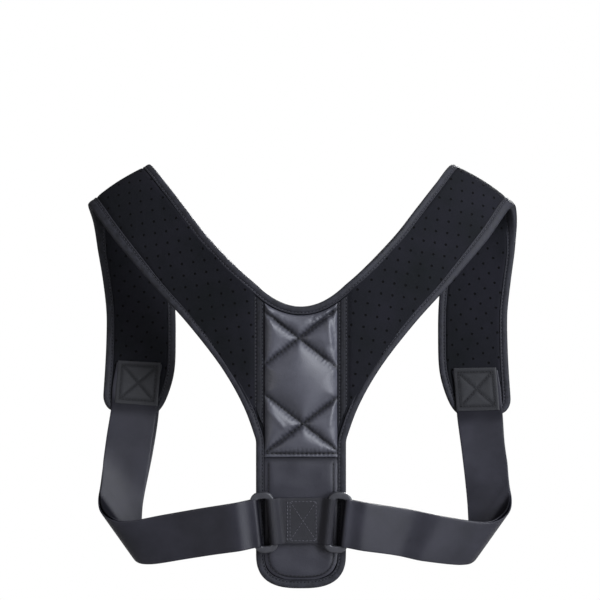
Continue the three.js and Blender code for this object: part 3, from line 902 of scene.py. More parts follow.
@dataclass(frozen=True)
class WovenFinish(Finish):
    """Cloth with threads that follow its flat pattern."""

    relief: float = 0.00012
    bump: float = 0.6
    across: float = 1100.0
    along: float = 1100.0
    rib: float = 0.0  # Share of the cross ribs, 1 for a ribbed tape
    lumps: float = 40.0
    soft: float = 0.0  # Height of the lumps, in heights of the threads
    # Darkness of the painted shade in the piece's marked creases
    crease: float = 0.0
    perforated: bool = False
    hole_pitch: float = 0.0119
    hole_turn: float = 9.5
    hole_rim: Spot = (0.125, 0.085)  # Outer and inner radius of a hole's rim, in pitches
    hole_depth: float = 8.0

    def texture(self, board: Board, shader: Node, place: Socket,
                color: Socket) -> tuple[Socket, Socket]:
        """Adds the threads and, where the cloth has them, its holes; see the base class."""
        flat = board.add("UVMap", uv_map=FLAT).outputs[0]
        weave = board.add("Group", {"Place": flat, "Across": self.across, "Along": self.along,
                                    "Rib": self.rib, "Lumps": self.lumps, "Soft": self.soft},
                          node_tree=weave_effect())
        # Painted shade between the threads and painted highlight on them
        color = board.blend(1.0, color, weave.outputs["Shade"], "MULTIPLY")
        if self.crease:
            color = self.seams(board, shader, color, self.crease)
        height = weave.outputs["Height"]
        if self.perforated:
            hole = self.holes(board, flat)
            color = board.blend(hole, color, HOLE_TINT)
            sunk = board.math("MULTIPLY", hole, self.hole_depth)
            height = board.math("SUBTRACT", height, sunk)
        return color, height

    def holes(self, board: Board, flat: Socket) -> Socket:
        """Mask of the small holes in their turned rows.

        Args:
            board: Board of the material.
            flat: Flat places of the cloth.

        Returns:
            The mask's socket.
        """
        count = 1 / self.hole_pitch
        turned = board.add("Mapping", {"Vector": flat, "Scale": (count, count, 1),
                                       "Rotation": (0, 0, math.radians(self.hole_turn))})
        cell = board.vector("FRACTION", {0: turned.outputs[0]}).outputs[0]
        away = board.vector("DISTANCE", {0: cell, 1: (0.5, 0.5, 0)}).outputs["Value"]
        return board.ramp(away, *self.hole_rim, kind="SMOOTHSTEP")


@dataclass(frozen=True)
class LeatherFinish(Finish):
    """Coated leather look with a fine grain."""

    relief: float = 0.00010
    bump: float = 0.45
    grain: float = 900.0
    # Darkness of the painted shade in the piece's marked creases
    depth: float = 0.85

    def texture(self, board: Board, shader: Node, place: Socket,
                color: Socket) -> tuple[Socket, Socket]:
        """Adds the grain; see the base class."""
        grain = board.add("Group", {"Place": place, "Scale": self.grain}, node_tree=grain_effect())
        # Painted shade in the grain's creases
        color = board.blend(1.0, color, grain.outputs["Shade"], "MULTIPLY")
        return self.seams(board, shader, color, self.depth), grain.outputs["Height"]


PADDING = WovenFinish(
    "strap_fabric", "padding", (0.0046, 0.0053, 0.0064), (0.0089, 0.0088, 0.0122), (0.8, 0.92),
    specular=0.06, drift=16.0, lumps=45.0, soft=14.0, perforated=True)
LINING = WovenFinish(
    "panel_lining", "padding", (0.0044, 0.0049, 0.006), (0.008, 0.0081, 0.011), (0.8, 0.92),
    specular=0.06, drift=16.0, lumps=45.0, soft=10.0)
BINDING = WovenFinish(
    "edge_tape", "binding", (0.0064, 0.0067, 0.009), (0.017, 0.0173, 0.0236), (0.55, 0.72),
    specular=0.2, drift=190.0, across=1300.0, along=1500.0, rib=0.7, lumps=260.0, soft=3.0,
    crease=0.8)
SEAM_TAPE = WovenFinish(
    "seam_tape", "binding", (0.0048, 0.005, 0.0065), (0.0108, 0.011, 0.0148), (0.6, 0.75),
    specular=0.15, drift=240.0, across=1300.0, along=1500.0, rib=0.7, lumps=300.0, soft=3.0,
    crease=0.8)
WEBBING = WovenFinish(
    "elastic_webbing", "webbing", (0.0097, 0.0096, 0.0139), (0.0163, 0.016, 0.0229), (0.42, 0.5),
    specular=0.25, drift=26.0, across=900.0, along=1300.0, rib=0.8, relief=0.00008, crease=0.9)
HOLDER_WEBBING = WovenFinish(
    "holder_webbing", "webbing", (0.0048, 0.0047, 0.0073), (0.0085, 0.0083, 0.0124), (0.5, 0.6),
    specular=0.26, drift=40.0, across=900.0, along=1300.0, rib=0.8)
LEATHER = LeatherFinish(
    "coated_leather", "leather", (0.0325, 0.033, 0.0434), (0.0485, 0.049, 0.063), (0.44, 0.54),
    specular=0.5, drift=30.0, depth=0.72)
TAIL_LEATHER = LeatherFinish(
    "tail_leather", "leather", (0.0126, 0.0125, 0.0184), (0.0196, 0.0194, 0.0274), (0.46, 0.56),
    specular=0.34, drift=30.0)
PATCH_LEATHER = LeatherFinish(
    "patch_leather", "leather", (0.0084, 0.0087, 0.0107), (0.0134, 0.0137, 0.0166), (0.55, 0.65),
    specular=0.28, drift=50.0, depth=0.5)
PLASTIC = Finish("moulded_plastic", "plastic", (0.017, 0.017, 0.021), (0.025, 0.025, 0.03),
                 (0.4, 0.5), specular=0.5, drift=60.0)
THREAD = Finish("dark_thread", "binding", (0.003, 0.003, 0.0036), (0.005, 0.005, 0.006),
                (0.55, 0.7), specular=0.3)
TAPE_THREAD = Finish("tape_thread", "binding", (0.014, 0.0142, 0.019), (0.024, 0.0243, 0.032),
                     (0.55, 0.7), specular=0.3)
GREY_THREAD = Finish("grey_thread", "binding", (0.03, 0.03, 0.038), (0.05, 0.05, 0.062),
                     (0.5, 0.65), specular=0.4)


@dataclass
class StitchRun:
    """Rows of stitches on one piece."""

    name: str
    finish: Finish = THREAD
    pitch: float = 3.6
    length: float = 2.5
    girth: float = 0.75
    flatness: float = 0.8
    chamfer: float = 0.27
    float_by: float = 0.12  # Height of its middle above the cloth, in girths
    rows: list[Run] = field(default_factory=list)

    def add(self, points: Sequence[Vector], normals: Sequence[Vector], mirror: int = 1) -> None:
        """Adds a row of stitches.

        Args:
            points: Path of the row on the cloth's face.
            normals: Normals of the cloth.
            mirror: Sign of the half that the row belongs to.
        """
        flip = Vector((mirror, 1, 1))
        self.rows.append([(p * flip, n * flip) for p, n in zip(points, normals)])

    def line(self, points: Sequence[Vector], normal: Vector, mirror: int = 1) -> None:
        """Adds a row of stitches on cloth that faces one way."""
        self.add(points, [normal] * len(points), mirror)

    def box(self, ends: Sequence[Vector], normal: Vector, count: int = 8, mirror: int = 1,
            place: Callable[[Vector], Vector] = Vector) -> None:
        """Adds a crossed box of stitches.

        Args:
            ends: Corners of the box, in order round it.
            normal: Normal of the cloth.
            count: Steps along each row.
            mirror: Sign of the half that the box belongs to.
            place: Lays a point of the box on the cloth.
        """
        for a, b in BOX_ROWS:
            self.line([place(ends[a].lerp(ends[b], t)) for t in steps(count)], normal, mirror)

    def stitch(self) -> Piece:
        """Models one stitch, lengthwise along x."""
        bpy.ops.object.select_all(action="DESELECT")
        bpy.ops.mesh.primitive_cube_add(size=1)
        piece = bpy.context.active_object
        with editing(piece):
            size = (self.length, self.girth, self.girth * self.flatness)
            bpy.ops.transform.resize(value=size)
            bpy.ops.mesh.bevel(offset=self.girth * self.chamfer, segments=1, affect="EDGES")
        return piece

    def places(self, row: Run) -> list[Matrix]:
        """Where the stitches of a row lie.

        Args:
            row: Path of the row.

        Returns:
            A matrix per stitch.
        """
        points, normals = (np.array(column) for column in zip(*row))
        marks = runs(points)

        def between(mark: float, values: np.ndarray) -> Vector:
            return Vector([np.interp(mark, marks, c) for c in values.T])

        count = max(int(marks[-1] / self.pitch), 1)
        result = []
        for k in range(count):
            middle = (k + 0.5) * marks[-1] / count
            start, end = (between(middle + s * self.length / 2, points) for s in (-1, 1))
            normal = between(middle, normals).normalized()
            along = (end - start).normalized()
            across = normal.cross(along).normalized()
            turn = Matrix((along, across, along.cross(across))).transposed().to_4x4()
            centre = start.lerp(end, 0.5) + normal * self.girth * self.float_by
            result.append(Matrix.Translation(centre) @ turn)
        return result

    def build(self) -> Piece:
        """Copies the stitch along all rows.

        Returns:
            The finished piece.
        """
        piece = self.stitch()
        shape = np.array([(*v.co, 1.0) for v in piece.data.vertices])
        sides = [tuple(p.vertices) for p in piece.data.polygons]
        bpy.data.objects.remove(piece, do_unlink=True)
        points, faces = [], []
        for place in (m for row in self.rows for m in self.places(row)):
            start = len(points)
            faces.extend(tuple(start + k for k in side) for side in sides)
            points.extend(part_point(Vector(p)) for p in (np.array(place) @ shape.T).T[:, :3])
        mesh = bpy.data.meshes.new(self.name)
        mesh.from_pydata(points, [], faces)
        piece = bpy.data.objects.new(self.name, mesh)
        bpy.context.collection.objects.link(piece)
        smooth(piece, angle=60)
        return enlist(piece, self.finish)


@dataclass
class ShoulderStrap:
    """Padded strap from the seam over the shoulder to its rounded end."""

    ENDLESS = 1000.0

    side: Side
    spacing: float = 5.0
    # Distances of the points beside each edge, from where the padding ends
    margins: tuple[float, ...] = (0, 3.2, 6.0, 7.0, 8.2, 10.2, 13.5, 18.5)
    full_width: float = 60.0  # Width from which these distances apply in full
    middles: int = 4
    swell: float = 1.8
    bed: float = 0.6  # Extra half thickness of the padding inside the binding
    crown: float = 0.3
    crown_reach: Spot = (2, 28)
    tuck: float = 1.8  # How far its seam edge reaches under the panel's side
    seam_bed: float = 3.3  # Width that lies flat under the seam tape
    flare: float = 3.4  # How much wider the binding on the arm's side shows at the crest
    # Rows between which that comes in, and those between which it goes
    flare_rows: tuple[Spot, Spot] = ((3.4, 5.2), (6.6, 8.5))
    neck_steps: int = 9
    arm_steps: int = 8
    band: Band = field(init=False)

    def __post_init__(self) -> None:
        """Lays out the strap's band."""
        self.band = strap_band(self.side)

    def half(self, clear: float) -> float:
        """Half thickness at a clear distance inside the binding."""
        rise = math.sqrt(smoothstep(clear, 0, self.swell))
        crown = self.crown * smoothstep(clear, *self.crown_reach)
        return mix(CUT.edge_half + self.bed, CUT.pad_half, rise) + crown

    def extra(self, row: float) -> float:
        """Width that the arm's binding gains at a row."""
        come, go = self.flare_rows
        return self.flare * smoothstep(row, *come) * (1 - smoothstep(row, *go))

    def stops(self, above: float) -> list[float]:
        """Rows down to a distance above the end, about evenly spaced.

        Args:
            above: Distance above the strap's end.

        Returns:
            The rows from the seam on.
        """
        rows = steps(600, 0, row_above_end(self.band, above))
        marks = runs([self.band.point(r, self.band.section(r).width / 2, 0) for r in rows])
        count = int(marks[-1] / self.spacing)
        return [float(np.interp(mark, marks, rows)) for mark in steps(count, 0, marks[-1])]

    @staticmethod
    def inside(near: float, far: float, above: float) -> float:
        """Distance of a place on the strap from its outline.

        Args:
            near: Distance from the neck edge.
            far: Distance from the arm edge.
            above: Distance above the end.

        Returns:
            The distance, with the rounded corners taken in.
        """
        result = min(near, far, above)
        for edge, (across, up) in ((near, CUT.neck_corner), (far, CUT.arm_corner)):
            x, z = across - edge, up - above
            if x > 0 and z > 0:
                reach = math.hypot(x / across, z / up)
                slope = math.hypot(x / across ** 2, z / up ** 2)
                result = min(result, (1 - reach) * reach / slope)
        return result

    @staticmethod
    def inset(above: float, corner: Spot) -> float:
        """Distance from an edge at which the padding ends, at a distance above the strap's end."""
        across, up = corner
        share = min(max((up - above) / (up - CUT.lip), 0.0), 1.0)
        return across - (across - CUT.lip) * math.sqrt(1 - share ** 2)

    def spread(self, low: float, high: float) -> list[float]:
        """Distances across, closer together beside the binding."""
        scale = min(1.0, (high - low) / self.full_width)
        edge = [m * scale for m in self.margins]
        middle = steps(self.middles, low + edge[-1], high - edge[-1])[1:-1]
        return [low + m for m in edge] + middle + [high - m for m in reversed(edge)]

    def sections(self) -> list[tuple[float, list[float], list[float]]]:
        """Sections along the strap.

        Returns:
            Row, distances across and half thicknesses of each section.
        """
        corner, square = CUT.neck_corner[1], CUT.arm_corner[1]
        stops = [(row, self.ENDLESS) for row in self.stops(corner)[:-1]]
        turns = steps(self.arm_steps, QUARTER / self.arm_steps, QUARTER)
        ends = steps(self.neck_steps, corner, square)
        ends += [square - (square - CUT.lip) * math.sin(turn) for turn in turns]
        stops += [(row_above_end(self.band, above), above) for above in ends]
        result = []
        for row, above in stops:
            width = self.band.section(row).width
            spread = self.spread(self.inset(above, CUT.neck_corner),
                                 width - self.inset(above, CUT.arm_corner))
            halves = []
            for d in spread:
                clear = self.inside(d, width - d - self.extra(row), above) - CUT.leg
                past_seam = self.band.point(row, d, 0).x - CUT.seam_x - self.seam_bed
                halves.append(self.half(min(clear, past_seam)))
            result.append((row, spread, halves))
        return result

    def build(self) -> None:
        """Models the padding."""
        sections = self.sections()

        def place(k: int, j: int, face: int) -> Vector:
            row, spread, halves = sections[j]
            tuck = Vector((self.tuck, 0, 0)) if j == 0 else Vector()
            return self.band.point(row, spread[k], face * halves[k]) - tuck

        def flat(k: int, j: int) -> Spot:
            row, spread, _ = sections[j]
            return self.band.flat(row, spread[k])

        name = f"shoulder_strap_{self.side.value}"
        piece = cut_skin(f"{name}_padding", len(sections[0][1]), len(sections) - 1, place, flat,
                         self.side.mirror)
        enlist(piece, PADDING, name)


@dataclass
class EdgeBinding:
    """Tape folded round the edges of the straps and the panel."""

    straps: tuple[ShoulderStrap, ShoulderStrap]
    stitch_inset: float = 6.3
    groove: float = 0.85
    plump: float = 0.3
    sink: float = 0.75
    fold: float = 1.9
    bevel: float = 0.6
    ripple: float = 0.2
    ripple_runs: Spot = (3.7, 17.3)
    corner_steps: int = 14
    side_steps: int = 20
    side_ends: Spot = (144, 42)
    tail_steps: int = 48
    neck_steps: int = 24
    thread_lift: float = 0.2
    # Flat width of the tape between two points of its section, in metres
    girth_step: float = 0.0012

    def profile(self) -> list[Point]:
        """Folded section of the tape.

        Returns:
            Distance inwards, lift and depth of the painted shade of each point, from leg to leg.
        """
        half, sewn, wall = CUT.binding_half, self.stitch_inset, CUT.wall
        swelled = half + self.plump
        outer = [(CUT.leg, half - 0.9, 0.7), (CUT.leg - 0.3, half - 0.15, 0.2),
                 (sewn + self.groove, half - 0.05, 0.1), (sewn, half - self.sink, 1.0),
                 (sewn - self.groove, half - 0.05, 0.1), (4.2, swelled, 0.0), (2.8, swelled, 0.0)]
        for turn in steps(4, 0.2, 1.5):
            reach = self.fold + self.plump * (1 - math.sin(turn))
            outer.append((self.fold - self.fold * math.sin(turn),
                          half - self.fold + reach * math.cos(turn), 0.0))
        inner = [(wall, half - wall - self.bevel, 0.0), (wall + self.bevel, half - wall, 0.0),
                 (CUT.leg, half - wall, 0.7)]
        under, lining = ([(d, -lift, crease) for d, lift, crease in reversed(part)]
                         for part in (outer, inner))
        return [*outer, (0.0, 0.0, 0.0), *under, *lining, *inner]

    def strap_edge(self, strap: ShoulderStrap, is_arm: bool) -> list[Station]:
        """Stations from the middle of a strap's end round its corner and along an edge to the seam.

        Args:
            strap: Strap to bind.
            is_arm: Whether it is the edge on the arm's side.

        Returns:
            The stations in order.
        """
        band, outward = strap.band, 1 if is_arm else -1
        side, up = CUT.arm_corner if is_arm else CUT.neck_corner
        end = band.section(STRAP_END)
        straight = end.width / 2 - side
        middle = end.neck.lerp(end.arm, 0.5)
        normal, along = band.normal(STRAP_END, end.width / 2), band.along(STRAP_END)
        stations = [Station(middle + end.across * outward * d, -along, normal)
                    for d in (CUT.gap / 2, straight / 2)]
        for turn in steps(self.corner_steps, QUARTER, 0):
            across, upwards = math.cos(turn), math.sin(turn)
            row = row_above_end(band, up * (1 - upwards))
            at = band.section(row)
            distance = at.width / 2 + outward * (at.width / 2 - side * (1 - across))
            inward = -at.across * outward * across / side - band.along(row) * upwards / up
            stations.append(Station(band.point(row, distance, 0), inward.normalized(),
                                    band.normal(row, distance)))
        for row in reversed(strap.stops(up)[:-1]):
            edge = band.edge(row, is_arm)
            wider = 1 + strap.extra(row) / CUT.leg if is_arm else 1
            stations.append(Station(edge.point, edge.inward * wider, edge.normal))
        return [s.mirrored() for s in stations] if strap.side is Side.LEFT else stations

    def stations(self, is_arm: bool) -> list[Station]:
        """All stations of one tape.

        Args:
            is_arm: True for the tape round armholes and tail, False for the one along the neck.

        Returns:
            Stations from the left strap's end to the right one's.
        """
        left, right = (self.strap_edge(strap, is_arm) for strap in self.straps)
        if not is_arm:
            middle = steps(self.neck_steps, -CUT.seam_x, CUT.seam_x)[1:-1]
            return left + [neck_station(x) for x in middle] + right[::-1]
        tail = [tail_station(turn) for turn in steps(self.tail_steps, -QUARTER, QUARTER)]
        heights = steps(self.side_steps, *self.side_ends)
        sides = [[panel_station(sign * CUT.panel_half, z, -sign, 0) for z in heights]
                 for sign in (-1, 1)]
        return left + sides[0] + tail + sides[1][::-1] + right[::-1]

    def build(self, is_arm: bool) -> None:
        """Models one tape with its two rows of stitches.

        Args:
            is_arm: True for the tape round armholes and tail, False for the one along the neck.
        """
        name = "body_binding" if is_arm else "neck_binding"
        stations, profile = self.stations(is_arm), self.profile()
        marks = runs([s.point for s in stations])
        short, long = self.ripple_runs
        ripple = [self.ripple * math.sin(m / short) * math.sin(m / long) for m in marks]

        def place(i: int, j: int) -> Vector:
            inward, lift, _ = profile[i % len(profile)]
            return stations[j].at(inward, lift + math.copysign(ripple[j], lift))

        def flat(i: int, j: int) -> Spot:
            return i * self.girth_step, marks[j] * MM

        # Painted shade in the stitched groove and at the tape's folded edges
        def shade(i: int, _: int) -> float:
            return profile[i % len(profile)][2]

        piece = cut_sheet(f"{name}_tape", len(profile), len(stations) - 1, place, flat, shade=shade)
        close_skin(piece)
        enlist(piece, BINDING, name)
        stitches = StitchRun(f"{name}_stitches", finish=TAPE_THREAD)
        for face in Layer:
            lift = face.value * (CUT.binding_half - self.sink + self.thread_lift)
            stitches.add([s.at(self.stitch_inset, lift) for s in stations],
                         [s.normal * face.value for s in stations])
        stitches.build()


@dataclass
class SpinePanel:
    """Padded panel along the spine with its lining on the wearer's side."""

    half_width: float = 43.2
    columns: int = 26
    rows: int = 70
    plump: float = 0.9
    rise: Spot = (-2, 4)  # Distances inside the binding between which it swells
    seam_x: float = 34.5
    seam_low: float = 26.0
    pinch: float = 2.2
    # Left, right, lower and upper edge of the crossed square of stitches
    square: tuple[float, float, float, float] = (-13, 13, 50, 84)

    def low(self, x: float) -> float:
        """Height of the panel's lower edge at a distance from the middle."""
        share = min(abs(x) / (CUT.panel_half - CUT.lip), 1.0)
        return CUT.tail_height - (CUT.tail_height - CUT.lip) * rounded(share)

    def high(self, x: float) -> float:
        """Height of the panel's upper edge at a distance from the middle."""
        return neck_station(x).point.z - CUT.lip

    def swell(self, x: float, z: float) -> float:
        """Depth of the lining at a place on the panel."""
        rim = min(self.half_width - abs(x), z - self.low(x), self.high(x) - z) - CUT.leg
        free = 1 - bell(abs(abs(x) - self.seam_x), self.pinch)
        return CUT.edge_half + self.plump * smoothstep(rim, *self.rise) * free

    def build(self) -> None:
        """Models the panel and the seams of its lining."""
        xs = [self.half_width * math.sin(QUARTER * t) for t in steps(self.columns, -1, 1)]

        def height(k: int, j: int) -> float:
            return mix(self.low(xs[k]), self.high(xs[k]), j / self.rows)

        def place(k: int, j: int, face: int) -> Vector:
            x, z = xs[k], height(k, j)
            if j in (0, self.rows):
                return Vector((x, 0, z))
            return Vector((x, self.swell(x, z) if face > 0 else -CUT.edge_half, z))

        piece = cut_skin("spine_panel_body", len(xs), self.rows, place,
                         lambda k, j: on_cloth(xs[k], height(k, j)))
        enlist(piece, LINING, "spine_panel")
        self.sew()

    def sew(self) -> None:
        """Stitches of the lining: two long seams and the crossed square behind the ring holder."""
        stitches = StitchRun("spine_panel_stitches")
        for x in (-self.seam_x, self.seam_x):
            heights = steps(60, self.seam_low, quilt_top(x) + 1)
            stitches.line([Vector((x, self.swell(x, z), z)) for z in heights], CHESTWARDS)
        face = CUT.edge_half + self.plump
        stitches.box([Vector((x, face, z)) for x, z in corners(*self.square)], CHESTWARDS)
        stitches.build()


@dataclass
class QuiltedPad:
    """Stuffed leather cover on the upper panel, sewn down along two crosses."""

    half_width: float = 36.2
    bottom: float = 131.0
    base: float = 1.2
    puff: float = 5.4
    reach: float = 8.0
    crosses: tuple[Spot, ...] = ((-2.0, 250.0), (2.0, 164.5))
    cross_rise: float = 28.0
    hem: float = 4.0
    columns: int = 44
    rows: int = 92
    cap: float = 8.0  # Largest way that a point may move while the stuffing swells
    pressure: float = 4.0
    slack: float = 0.01  # Share by which the leather is cut larger than its frame
    stiffness: float = 200.0
    bending: float = 0.1
    mass: float = 0.05
    quality: int = 6
    frames: int = 20
    # Scale at which the cloth is worked out, because small meshes hardly move
    enlarge: float = 100.0
    groove: float = 1.0
    pitch: float = 4.2
    thread: Spot = (2.5, 1.3)
    thread_lift: float = 0.3
    gather: float = 0.38
    gather_at: Spot = (2.5, 2.2)  # Distance of the gathers from a seam, and their width
    # Half widths of the bands of painted shade along the seams
    bands: tuple[float, ...] = (2.7, 1.8, 2.7, 1.8, 1.4)
    # Ends, height and width of the longer folds
    folds: tuple[tuple[Spot, Spot, float, float], ...] = (
        ((25.0, 277.0), (30.0, 246.0), 1.0, 3.0),
        ((30.0, 276.0), (34.0, 240.0), -0.9, 2.2),
        ((-33.0, 282.0), (-29.0, 262.0), 0.8, 2.6),
        ((24.0, 238.0), (33.0, 214.0), 0.7, 2.6),
        ((-32.0, 178.0), (-18.0, 162.0), 0.8, 2.6),
        ((10.0, 268.0), (22.0, 282.0), -0.6, 2.4),
        ((32.0, 186.0), (29.0, 164.0), 0.7, 2.6),
        ((-30.0, 142.0), (-14.0, 152.0), 0.5, 2.2),
    )

    def seams(self) -> list[tuple[Vector, Vector]]:
        """Ends of the sewn lines on the panel's plane, the hem included."""
        half, lines = self.half_width, []
        for x, z in self.crosses:
            for sign in (1, -1):
                rises = ((side, side * sign * self.cross_rise * (half - side * x) / half)
                         for side in (-1, 1))
                lines.append(tuple(Vector((side * half, z + rise)) for side, rise in rises))
        hem = self.bottom + self.hem
        return [*lines, (Vector((-half, hem)), Vector((half, hem)))]

    @staticmethod
    def away(place: Vector, line: tuple[Vector, Vector]) -> tuple[float, float]:
        """Distance from a sewn line and the run along it.

        Args:
            place: Place on the panel's plane.
            line: Ends of the sewn line.

        Returns:
            The distance, and the run from the line's start to the nearest point.
        """
        start, way = line[0], line[1] - line[0]
        share = min(max((place - start).dot(way) / way.length_squared, 0), 1)
        nearest = start + way * share
        return (place - nearest).length, (nearest - start).length

    def rim(self, place: Vector) -> float:
        """Distance of a place on the panel's plane from the cover's edge."""
        return min(self.half_width - abs(place.x), place.y - self.bottom,
                   quilt_top(place.x) - place.y)

    def layout(self) -> tuple[dict[tuple[int, int], Vector], set[tuple[int, int]]]:
        """Lays the grid on the panel's plane, with a vertex of every column drawn onto each seam.

        Returns:
            Place of every grid vertex, and the vertices that seams and edges hold.
        """
        spots, sewn = {}, set()
        for i in range(self.columns + 1):
            x = self.half_width * (2 * i / self.columns - 1)
            low, high = self.bottom, quilt_top(x)
            for j in range(self.rows + 1):
                spots[i, j] = Vector((x, mix(low, high, j / self.rows)))
                if i in (0, self.columns) or j in (0, self.rows):
                    sewn.add((i, j))
            for line in self.seams():
                z = mix(line[0].y, line[1].y, i / self.columns)
                j = round((z - low) / (high - low) * self.rows)
                if 0 < j < self.rows and (i, j) not in sewn:
                    spots[i, j].y = z
                    sewn.add((i, j))
                for beside in (j - 1, j + 1):
                    if (0 < beside < self.rows
                            and self.away(spots[i, beside], line)[0] < self.groove):
                        sewn.add((i, beside))
        return spots, sewn

    def pucker(self, piece: Piece) -> None:
        """Draws small gathers along the seams and presses the folds in.

        Args:
            piece: Swelled cover.
        """
        beside, width = self.gather_at
        for vertex in piece.data.vertices:
            place = Vector((vertex.co.x / MM, vertex.co.z / MM + CARRY.z))
            distance, run = min(self.away(place, line) for line in self.seams())
            rim = self.rim(place)
            uneven = 0.6 + 0.4 * math.sin(run / 5.3 + place.x / 11) * math.sin(run / 3.1)
            wave = uneven * math.sin(2 * math.pi * run / self.pitch)
            lift = self.gather * wave * bell(distance - beside, width) * smoothstep(rim, 0.5, 3)
            for start, end, height, broad in self.folds:
                off = self.away(place, (Vector(start), Vector(end)))[0]
                lift += height * bell(off, broad) * smoothstep(rim, 0.2, 2.5)
            vertex.co.y -= lift * MM
        piece.data.update()

    def crease(self, place: Vector) -> float:
        """Depth of the painted shade along the seams at a place on the panel's plane."""
        return max(bell(self.away(place, line)[0], band)
                   for line, band in zip(self.seams(), self.bands))

    def height(self, place: Vector) -> float:
        """Height of the stuffing before it swells."""
        gaps = (max(self.away(place, line)[0] - self.groove, 0) for line in self.seams())
        near = min([self.rim(place), *gaps])
        return self.base + self.puff * (1 - (1 - min(near / self.reach, 1)) ** 2)

    def swell(self, piece: Piece, sewn: Sequence[int]) -> None:
        """Lets the stuffing press the cover out between its seams.

        Args:
            piece: Cover as a sheet.
            sewn: Vertices that the seams hold.
        """
        activate(piece)
        piece.vertex_groups.new(name="sewn").add(list(sewn), 1.0, "REPLACE")
        start = np.array([v.co for v in piece.data.vertices])
        piece.data.transform(Matrix.Scale(self.enlarge, 4))
        bpy.ops.object.modifier_add(type="CLOTH")
        cloth = piece.modifiers[-1]
        rule = cloth.settings
        rule.quality = self.quality
        rule.mass = self.mass
        rule.tension_stiffness = rule.compression_stiffness = self.stiffness
        rule.shear_stiffness = self.stiffness / 3
        rule.bending_stiffness = self.bending
        rule.use_pressure = True
        rule.uniform_pressure_force = self.pressure
        rule.shrink_min = rule.shrink_max = -self.slack
        rule.vertex_group_mass = "sewn"
        rule.effector_weights.gravity = 0
        cloth.collision_settings.use_collision = False
        scene = bpy.context.scene
        for count in range(1, self.frames + 1):
            scene.frame_set(count)
        bpy.ops.object.modifier_apply(modifier=cloth.name)
        moves = np.array([v.co for v in piece.data.vertices]) / self.enlarge - start
        scene.frame_set(1)
        lengths = np.linalg.norm(moves, axis=1, keepdims=True)
        log.info("%s swelled by up to %.1f mm", piece.name, float(lengths.max()) / MM)
        moves *= np.minimum(1, self.cap * MM / np.maximum(lengths, 1e-9))
        piece.data.vertices.foreach_set("co", (start + moves).ravel())
        piece.data.update()

    def build(self) -> None:
        """Models the cover, its back and its stitches."""
        spots, sewn = self.layout()

        def place(i: int, j: int) -> Vector:
            at = spots[i, j]
            return Vector((at.x, CUT.back_face - self.height(at), at.y))

        piece = cut_sheet("quilted_pad_cover", self.columns, self.rows, place,
                          lambda i, j: on_cloth(*spots[i, j]))
        self.swell(piece, [j * (self.columns + 1) + i for i, j in sewn])
        subdivide(piece)
        mark_painted_shade(piece, [self.crease(Vector((p.x, p.z))) for p in panel_places(piece)])
        self.pucker(piece)
        line_back(piece)
        enlist(piece, LEATHER, "quilted_pad")
        length, girth = self.thread
        stitches = StitchRun("quilted_pad_stitches", pitch=self.pitch, length=length, girth=girth)
        depth = CUT.back_face - self.base - self.thread_lift
        for first, second in self.seams():
            path = [first.lerp(second, t) for t in steps(10, 0.02, 0.98)]
            stitches.line([Vector((p.x, depth, p.y)) for p in path], BACKWARDS)
        stitches.build()


@dataclass
class Ring:
    """Moulded ring between the holder and the webbing."""

    x: float = 36.7
    z: float = 67.0
    tilt: float = 0.105
    width: float = 17.6
    length: float = 53.8
    bar: float = 3.3
    corner: float = 6.2
    bevel: float = 1.35
    layer: float = 1.5
    play: float = 0.1
    seat: float = 2.05  # Depth of the tail cover under the holder

    @property
    def clear(self) -> float:
        """Radius that a webbing keeps round a post."""
        return self.bar + self.play

    @property
    def face(self) -> float:
        """Depth of the holder's underside."""
        return CUT.back_face - self.seat

    @property
    def depth(self) -> float:
        """Depth of the posts' middle."""
        return self.face - self.clear - self.layer

    @property
    def centre(self) -> Vector:
        """Middle of the right ring."""
        return Vector((self.x, self.depth, self.z))

    @property
    def way(self) -> Vector:
        """Direction of the right ring's posts, upwards."""
        return Vector((math.sin(self.tilt), 0, math.cos(self.tilt)))

    def post(self, is_outer: bool) -> Vector:
        """Middle of a post on the right ring."""
        run = Vector((math.cos(self.tilt), 0, -math.sin(self.tilt)))
        return self.centre + run * self.width / 2 * (1 if is_outer else -1)

    def build(self, side: Side) -> None:
        """Models one ring.

        Args:
            side: Half of the brace.
        """
        name = f"ring_{side.value}"
        bpy.ops.object.select_all(action="DESELECT")
        bpy.ops.mesh.primitive_plane_add(size=1, rotation=(QUARTER, 0, 0))
        piece = bpy.context.active_object
        piece.name = piece.data.name = f"{name}_moulding"
        bpy.ops.object.transform_apply(location=False, rotation=True, scale=False)
        thick = 2 * self.bar
        size = ((self.width + thick) * MM, 1, (self.length + thick) * MM)
        with editing(piece):
            bpy.ops.transform.resize(value=size)
            bpy.ops.mesh.bevel(offset=(self.corner + self.bar) * MM, segments=7, affect="VERTICES")
            bpy.ops.mesh.inset(thickness=thick * MM)
            bpy.ops.mesh.delete(type="ONLY_FACE")
            bpy.ops.mesh.select_all(action="SELECT")
            bpy.ops.mesh.extrude_region_move(TRANSFORM_OT_translate={"value": (0, thick * MM, 0)})
            turn_outwards()
            bpy.ops.transform.translate(value=(0, -self.bar * MM, 0))
            bpy.ops.mesh.select_mode(type="EDGE")
            bpy.ops.mesh.select_all(action="DESELECT")
            bpy.ops.mesh.edges_select_sharp(sharpness=math.radians(60))
            bpy.ops.mesh.bevel(offset=self.bevel * MM, segments=3, affect="EDGES")
            bpy.ops.mesh.select_mode(type="VERT")
        piece.data.transform(Matrix.Rotation(self.tilt * side.mirror, 4, "Y"))
        piece.data.transform(Matrix.Translation(part_point(self.centre, side.mirror)))
        smooth(piece, angle=40)
        enlist(piece, PLASTIC, name)


